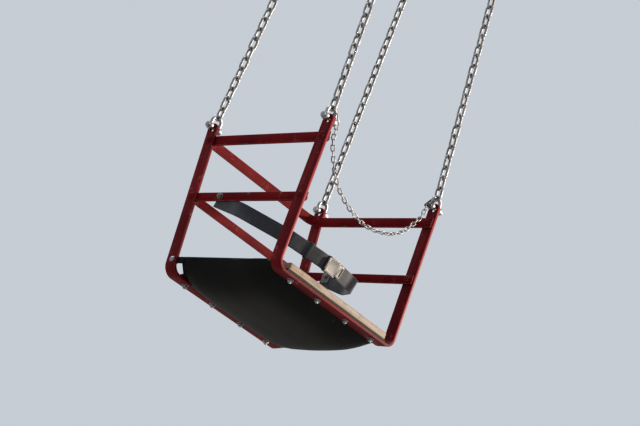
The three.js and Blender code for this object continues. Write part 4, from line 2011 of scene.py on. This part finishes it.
@dataclass
class LapBelt(SubAssembly):
    """Woven belt across the rider's lap, bolted to the arm rail, with its tail and buckle."""

    middle: Triple = (0.0, 128.0, 200.0)
    tilt: float = 16.0
    thick: float = 2.6
    wide: float = 42.0
    radius: float = 60.0
    corners: tuple[tuple[float, float], ...] = (
        (-237.9, 0.0),
        (-237.9, -110.0),
        (-150.0, -236.0),
        (-45.0, -272.0),
        (45.0, -272.0),
        (150.0, -236.0),
        (237.9, -110.0),
        (237.9, 0.0),
    )
    tail_x: tuple[float, float] = (-150.0, -20.0)
    tail_off: float = 3.2
    tail_share: float = 0.97
    hem_points: int = 4
    hem_off: float = 2.4
    hem_share: tuple[float, float] = (0.8, 0.96)
    stitch_off: float = -1.45
    stitch_row: int = 17
    stitch_gap: int = 5
    stitch_apart: float = 3.0
    box_at: int = 6
    box_half: int = 4
    long_stitch: Plate = Plate((3.0, 0.6, 1.0), Z, 0.0, 0.25, 1)
    cross_stitch: Plate = Plate((1.0, 0.6, 3.6), Z, 0.0, 0.25, 1)
    clamp: Plate = Plate((2.5, 30.0, 34.0), X, 5.0, 0.6)
    clamp_y: float = 112.0
    clamp_z: float = 203.0
    bolt: DomedBolt = DomedBolt(8.0)
    keeper: Plate = Plate((11.0, 10.4, 49.0), X, 2.5, 0.5, window=(20.0, 6.6, 44.4))
    keeper_off: float = 1.6
    buckle: LiftBuckle = LiftBuckle()
    way: list[Vector] = field(init=False)
    out: list[Vector] = field(init=False)
    tail_way: list[Vector] = field(init=False)

    def __post_init__(self) -> None:
        """Works out the belt's line, the ways that face out of it, and the loose tail's line."""
        points = [Vector((x, y, 0.0)) * MM for x, y in self.corners]
        self.way = even_way(rounded_way(points, self.radius * MM, 12), 6 * MM)
        self.out = [heading.cross(Z) for heading in headings(self.way)]
        outer = [point + out * self.tail_off * MM for point, out in zip(self.way, self.out)]
        low, high = (x * MM for x in self.tail_x)
        self.tail_way = [point for point in outer if low < point.x < high]

    @property
    def plane(self) -> Matrix:
        """Place of the belt's own plane: X across the chair, -Y forward, Z up its width."""
        turn = Matrix.Rotation(math.radians(self.tilt), 4, "X")
        return Matrix.Translation(PLAN.at(*self.middle)) @ turn

    def _outward(self, point: Vector) -> Vector:
        """The way that faces out of the belt at its nearest point."""
        k = min(range(len(self.way)), key=lambda n: (self.way[n] - point).length)
        return self.out[k]

    def _webbing(self) -> BMesh:
        """The belt, the tail that lies over it past the buckle, and the tail's hem.

        Returns:
            The webbing with its cloth map.
        """
        thick, wide = self.thick * MM, self.wide * MM
        hem = [point + self._outward(point) * self.hem_off * MM for point in self.tail_way]
        hem = even_way(hem[:self.hem_points], 3 * MM)
        hem_thick, hem_wide = self.hem_share
        return gathered(
            run_along(self.way, strap_section(thick, wide), Z),
            run_along(self.tail_way, strap_section(thick, wide * self.tail_share), Z),
            run_along(hem, strap_section(thick * hem_thick, wide * hem_wide), Z),
        )

    def _stitch(self, k: int, along: float, row: float, thread: Plate) -> BMesh:
        """One stitch on the webbing.

        Args:
            k: the belt's point that it lies at.
            along: how far it lies from there along the belt, in millimetres.
            row: how high it lies on the webbing, in millimetres.
            thread: its form.

        Returns:
            The stitch.
        """
        out = self.out[k]
        ahead = Z.cross(out)
        at = self.way[k] + (out * self.stitch_off + ahead * along + Z * row) * MM
        turn = Matrix.Rotation(math.atan2(ahead.y, ahead.x), 4, "Z")
        return moved(thread.at(Vector()), Matrix.Translation(at) @ turn)

    def _stitches(self) -> BMesh:
        """Box stitching near both ends of the belt.

        Returns:
            The stitches.
        """
        parts = []
        box, row = self.box_half, self.stitch_row
        for middle in (self.box_at, len(self.way) - 1 - self.box_at):
            for k in range(middle - box, middle + box + 1):
                for high in (-row, row):
                    for along in (-self.stitch_apart, self.stitch_apart):
                        parts.append(self._stitch(k, along, high, self.long_stitch))
            for k in (middle - box, middle + box):
                for high in range(2 - row, row, self.stitch_gap):
                    parts.append(self._stitch(k, 0.0, high, self.cross_stitch))
        return gathered(*parts)

    def _anchors(self) -> BMesh:
        """Clamp plates and bolts that hold the belt's ends to the arm rail.

        Returns:
            The anchors.
        """
        parts = []
        inside = self.corners[-1][0] - self.thick / 2
        thick = self.clamp.size[0]
        for side in SIDES:
            parts.append(self.clamp.at(PLAN.at(side * (inside - thick / 2), self.clamp_y, self.clamp_z)))
            top = PLAN.at(side * (inside - thick), self.clamp_y, PLAN.rail_heights[1])
            tail = PLAN.at(side * PLAN.rail_outer_x, self.clamp_y, PLAN.rail_heights[1])
            parts += self.bolt.through(top, tail, X * -side)
        return gathered(*parts)

    def _keeper(self) -> BMesh:
        """Sliding loop that holds the tail against the belt.

        Returns:
            The keeper.
        """
        at = self.tail_way[len(self.tail_way) // 2]
        out = self._outward(at)
        turn = Matrix.Rotation(math.atan2(out.y, out.x) + math.pi / 2, 4, "Z")
        place = Matrix.Translation(at - out * self.keeper_off * MM) @ turn
        return gathered(moved(self.keeper.at(Vector()), place))

    def build(self) -> None:
        """Builds the webbing, its stitches and anchors, the buckle and the keeper."""
        finishes, plane = self.finishes, self.plane
        fit_piece("webbing_belt", moved(self._webbing(), plane), finishes.webbing, ["lap_belt"], 60)
        fit_piece("belt_stitches", moved(self._stitches(), plane), finishes.thread)
        fit_piece("belt_anchors", self._anchors(), finishes.buckle)
        fit_piece("lift_buckle", moved(self.buckle.made(), plane), finishes.buckle, ["belt_buckle"])
        fit_piece("belt_keeper", moved(self._keeper(), plane), finishes.dark)


@dataclass(frozen=True)
class WeldBead:
    """A rippled weld bead along a corner, in millimetres."""

    radius: float = 1.7
    step: float = 1.3
    swell: float = 1.9
    ripple: float = 0.22
    wave: float = 1.9
    uneven: float = 0.1
    end_share: float = 0.55
    end_grow: float = 0.2

    def along(self, start: Triple, end: Triple, dice: random.Random) -> BMesh:
        """Lays the bead.

        Args:
            start: one end.
            end: the other end.
            dice: what makes it uneven.

        Returns:
            The bead.
        """
        way = even_way([Vector(start) * MM, Vector(end) * MM], self.step * MM)
        side = (way[-1] - way[0]).normalized().cross(Z).normalized()
        run = SectionRun(round_section(self.radius * MM, 9), way[0], side, Z)
        for k, point in enumerate(way[1:]):
            ends = min(1.0, self.end_share + self.end_grow * min(k, len(way) - 2 - k))
            ripple = self.ripple * math.sin(k * self.wave) + dice.uniform(-self.uneven, self.uneven)
            run.station(point, side, Z, (self.swell + ripple) * ends)
        return run.capped()


@dataclass(frozen=True)
class SplitPin:
    """A split pin with its eye at one end and bent legs at the other, in millimetres."""

    reach: float = 21.5
    shank: float = 1.9
    eye_wire: float = 1.3
    eye_radius: float = 3.2
    eye_up: float = 3.0
    leg_wire: float = 1.2
    leg_apart: float = 1.1
    leg_straight: float = 2.0
    leg_radius: float = 4.0
    leg_angle: float = 62.0
    leg_tip: float = 7.0

    def at(self, middle: Vector, axis: Vector, across: Vector) -> BMesh:
        """Sets the pin through its bolt.

        Args:
            middle: its middle.
            axis: the way its eye points.
            across: the way its legs spread.

        Returns:
            The split pin.
        """
        reach, bow = axis * self.reach * MM, self.eye_radius * MM
        start = middle + reach + (axis * self.eye_up - across * self.eye_radius) * MM
        eye = BarBender(round_section(self.eye_wire * MM, 8), start, axis, across)
        eye.bend(bow, 180, across, 8).bend(bow, 180, -across, 8)
        parts = [disc(self.shank * MM, self.reach * 2 * MM, middle, axis, 12), eye.joined()]
        for way in SIDES:
            foot = middle - reach + across * way * self.leg_apart * MM
            leg = BarBender(round_section(self.leg_wire * MM, 8), foot, -axis, across)
            leg.straight(self.leg_straight * MM)
            leg.bend(self.leg_radius * MM, self.leg_angle, across * way, 6)
            parts.append(leg.straight(self.leg_tip * MM).capped())
        return gathered(*parts)


@dataclass(frozen=True)
class GreaseNipple:
    """A grease nipple: hexagon, neck and round tip, in millimetres."""

    hexagon: Turned = Turned(5.0, 3.5, 0.5, 6)
    hexagon_up: float = 1.7
    neck: Turned = Turned(2.6, 6.0, 0.0, 14)
    neck_up: float = 5.0
    tip_radius: float = 3.2
    tip_high: float = 3.4
    tip_up: float = 6.6

    def at(self, foot: Vector, out: Vector) -> BMesh:
        """The nipple, screwed in at a foot so that it stands out one way."""
        tip = foot + out * self.tip_up * MM
        return gathered(
            self.hexagon.at(foot + out * self.hexagon_up * MM, out),
            self.neck.blank(foot + out * self.neck_up * MM, out),
            dome(self.tip_radius * MM, self.tip_high * MM, tip, out, 14),
        )


@dataclass
class Hanger(SubAssembly):
    """Bolted hanger above: plate and lugs, crossed swivel, spreader with its two arms.

    Sizes are in millimetres. A weld's numbers are its half length, or its two ends, and its height.
    """

    paint_round: float = 1.6
    pin_round: float = 1.2
    upper_pivot: float = -78.0
    lower_pivot: float = -168.0
    split_pin_off: float = 50.5
    nipple_off: float = 48.3
    weld_faces: tuple[float, float] = (21.6, 38.4)
    lug_weld: tuple[float, float] = (47.0, -15.6)
    cheek_weld: tuple[float, float] = (41.0, -212.4)
    arm_faces: tuple[float, float] = (156.8, 203.2)
    arm_weld: tuple[float, float] = (42.0, -230.6)
    bar_faces: tuple[float, float] = (-45.2, 45.2)
    bar_weld: Triple = (160.0, 200.0, -228.6)
    bead: WeldBead = WeldBead()
    split_pin: SplitPin = SplitPin()
    nipple: GreaseNipple = GreaseNipple()

    def _seams(self) -> Iterator[tuple[Body, Triple, Triple]]:
        """Every weld.

        Yields:
            The body that a weld is on and its two ends.
        """
        for side in SIDES:
            for face in self.weld_faces:
                half, z = self.lug_weld
                yield Body.HANGER, (-half, side * face, z), (half, side * face, z)
                half, z = self.cheek_weld
                yield Body.CHAIR, (side * face, -half, z), (side * face, half, z)
            half, z = self.arm_weld
            for x in self.arm_faces:
                yield Body.CHAIR, (side * x, -half, z), (side * x, half, z)
            near, far, z = self.bar_weld
            for y in self.bar_faces:
                yield Body.CHAIR, (side * near, y, z), (side * far, y, z)

    def _welds(self) -> dict[Body, BMesh]:
        """Every weld bead, by the body it rides on.

        Returns:
            The beads of the hanger and of the chair's spreader.
        """
        beads = {Body.HANGER: [], Body.CHAIR: []}
        for body, start, end in self._seams():
            beads[body].append(self.bead.along(start, end, self.dice))
        return {body: gathered(*parts) for body, parts in beads.items()}

    def _dress(self, nodes: Mapping[str, Body], rounding: float, coating: Coating) -> None:
        """Rounds and paints some of the CAD solids.

        Args:
            nodes: the solids' nodes and bodies.
            rounding: how far their edges are rounded.
            coating: their finish.
        """
        for node, body in nodes.items():
            mesh = soften(merged_copy(node), rounding * MM)
            fit_piece(f"{node}_dressed", mesh, coating, [node], body=body)

    def build(self) -> None:
        """Dresses the hanger's solids and adds its welds and small parts."""
        plain, painted = self.finishes.plain, self.finishes.hanger
        above = dict.fromkeys(("mounting_plate", "front_lug", "rear_lug"), Body.HANGER)
        below = ("left_cheek", "right_cheek", "spreader_bar", "left_arm", "right_arm")
        nodes = {**above, "swivel_block": Body.SWIVEL, **dict.fromkeys(below, Body.CHAIR)}
        self._dress(nodes, self.paint_round, painted)
        bright = {"upper_pin": Body.HANGER, "upper_nut": Body.HANGER}
        bright.update({"lower_pin": Body.CHAIR, "lower_nut": Body.CHAIR})
        self._dress(bright, self.pin_round, plain)
        for body, beads in self._welds().items():
            fit_piece(f"{body.value}_welds", beads, painted, (), 70, body)
        pins = (
            ("upper", Body.HANGER, Y, X, Z * self.upper_pivot),
            ("lower", Body.CHAIR, -X, Y, Z * self.lower_pivot),
        )
        for name, body, out, across, pivot in pins:
            pin = self.split_pin.at((pivot + out * self.split_pin_off) * MM, Z, across)
            fit_piece(f"{name}_split_pin", pin, plain, (), 80, body)
        for name, body, out, _, pivot in pins:
            nipple = self.nipple.at((pivot - out * self.nipple_off) * MM, -out)
            fit_piece(f"{name}_grease_nipple", nipple, plain, body=body)


# Studio
@dataclass(frozen=True)
class Sun:
    """A soft lamp that shines alike on everything: its way, power, spread in degrees and tint."""

    name: str
    off: tuple[float, float, float]
    power: float
    spread: float
    tint: Colour


@dataclass
class Studio:
    """Pale floor, soft lights and a camera at the photograph's viewing angle."""

    floor_under: float = 2.9
    floor_radius: float = 90.0
    floor_tone: Colour = (0.385, 0.385, 0.38)
    floor_rough: float = 0.9
    sky: Colour = (0.69, 0.735, 0.79)
    sky_power: float = 0.72
    suns: tuple[Sun, ...] = (
        Sun("low_sun", (3.2, -2.2, 1.3), 4.6, 6.0, (1.0, 0.85, 0.70)),
        Sun("high_sun", (-0.6, 1.0, 3.0), 1.2, 30.0, (1.0, 0.98, 0.95)),
    )
    camera_off: Triple = (-3.108, -3.344, -1.397)
    aim_off: Triple = (0.02, 0.0, 0.30)
    roll: float = 20.3
    lens: float = 98.0
    sensor: float = 36.0
    sight: float = 200.0

    def _aim(self, thing: Object, off: Triple, aim: Triple, roll: float = 0.0) -> None:
        """Points a camera or lamp.

        Args:
            thing: the camera or lamp.
            off: where it stands, from the chair's zero.
            aim: what it points to, from there too.
            roll: turn about its own axis in degrees.
        """
        ahead = (Vector(aim) - Vector(off)).normalized()
        right = ahead.cross(Z).normalized()
        level = Matrix((right, right.cross(ahead), -ahead)).transposed().to_4x4()
        turn = Matrix.Rotation(math.radians(roll), 4, "Z")
        thing.matrix_world = Matrix.Translation(PLAN.at(0, 0, 0) + Vector(off)) @ level @ turn

    def _floor(self) -> None:
        """Lays the floor."""
        mesh = bmesh.new()
        bmesh.ops.create_circle(mesh, cap_ends=True, radius=self.floor_radius, segments=96)
        middle = PLAN.at(0, 0, 0) - Z * self.floor_under
        data = stored("studio_floor", moved(mesh, Matrix.Translation(middle)))
        data.materials.append(Bench("floor_plaster").surface(self.floor_tone, self.floor_rough))
        shown("studio_floor", data)

    def _light(self) -> None:
        """Hangs the sky and the lamps, and sets how bright and flat the picture is."""
        world = bpy.data.worlds.new("studio_sky")
        world.use_nodes = True
        back = world.node_tree.nodes["Background"]
        back.inputs["Color"].default_value = (*self.sky, 1.0)
        back.inputs["Strength"].default_value = self.sky_power
        bpy.context.scene.world = world
        bpy.context.scene.view_settings.view_transform = "Standard"
        bpy.context.scene.view_settings.look = "Medium High Contrast"
        for sun in self.suns:
            lamp = bpy.data.lights.new(sun.name, "SUN")
            lamp.energy = sun.power
            lamp.angle = math.radians(sun.spread)
            lamp.color = sun.tint
            thing = shown(sun.name, lamp)
            self._aim(thing, sun.off, (0.0, 0.0, 0.0))

    def build(self) -> None:
        """Sets up floor, sky, lamps and camera."""
        self._floor()
        self._light()
        camera = bpy.data.cameras.new("photo_camera")
        camera.lens = self.lens
        camera.sensor_width = self.sensor
        camera.clip_end = self.sight
        eye = shown("photo_camera", camera)
        self._aim(eye, self.camera_off, self.aim_off, self.roll)
        bpy.context.scene.camera = eye


def main() -> None:
    """Builds every sub-assembly in order."""
    finishes = Finishes()
    dice = random.Random(SEED)
    for kind in (FlatBarFrame, Seat, Suspension, SafetyChain, LapBelt, Hanger):
        LOG.info("Building %s", kind.__name__)
        kind(finishes, dice).build()
    LOG.info("Building the studio")
    Studio().build()


if __name__ == "__main__":
    main()
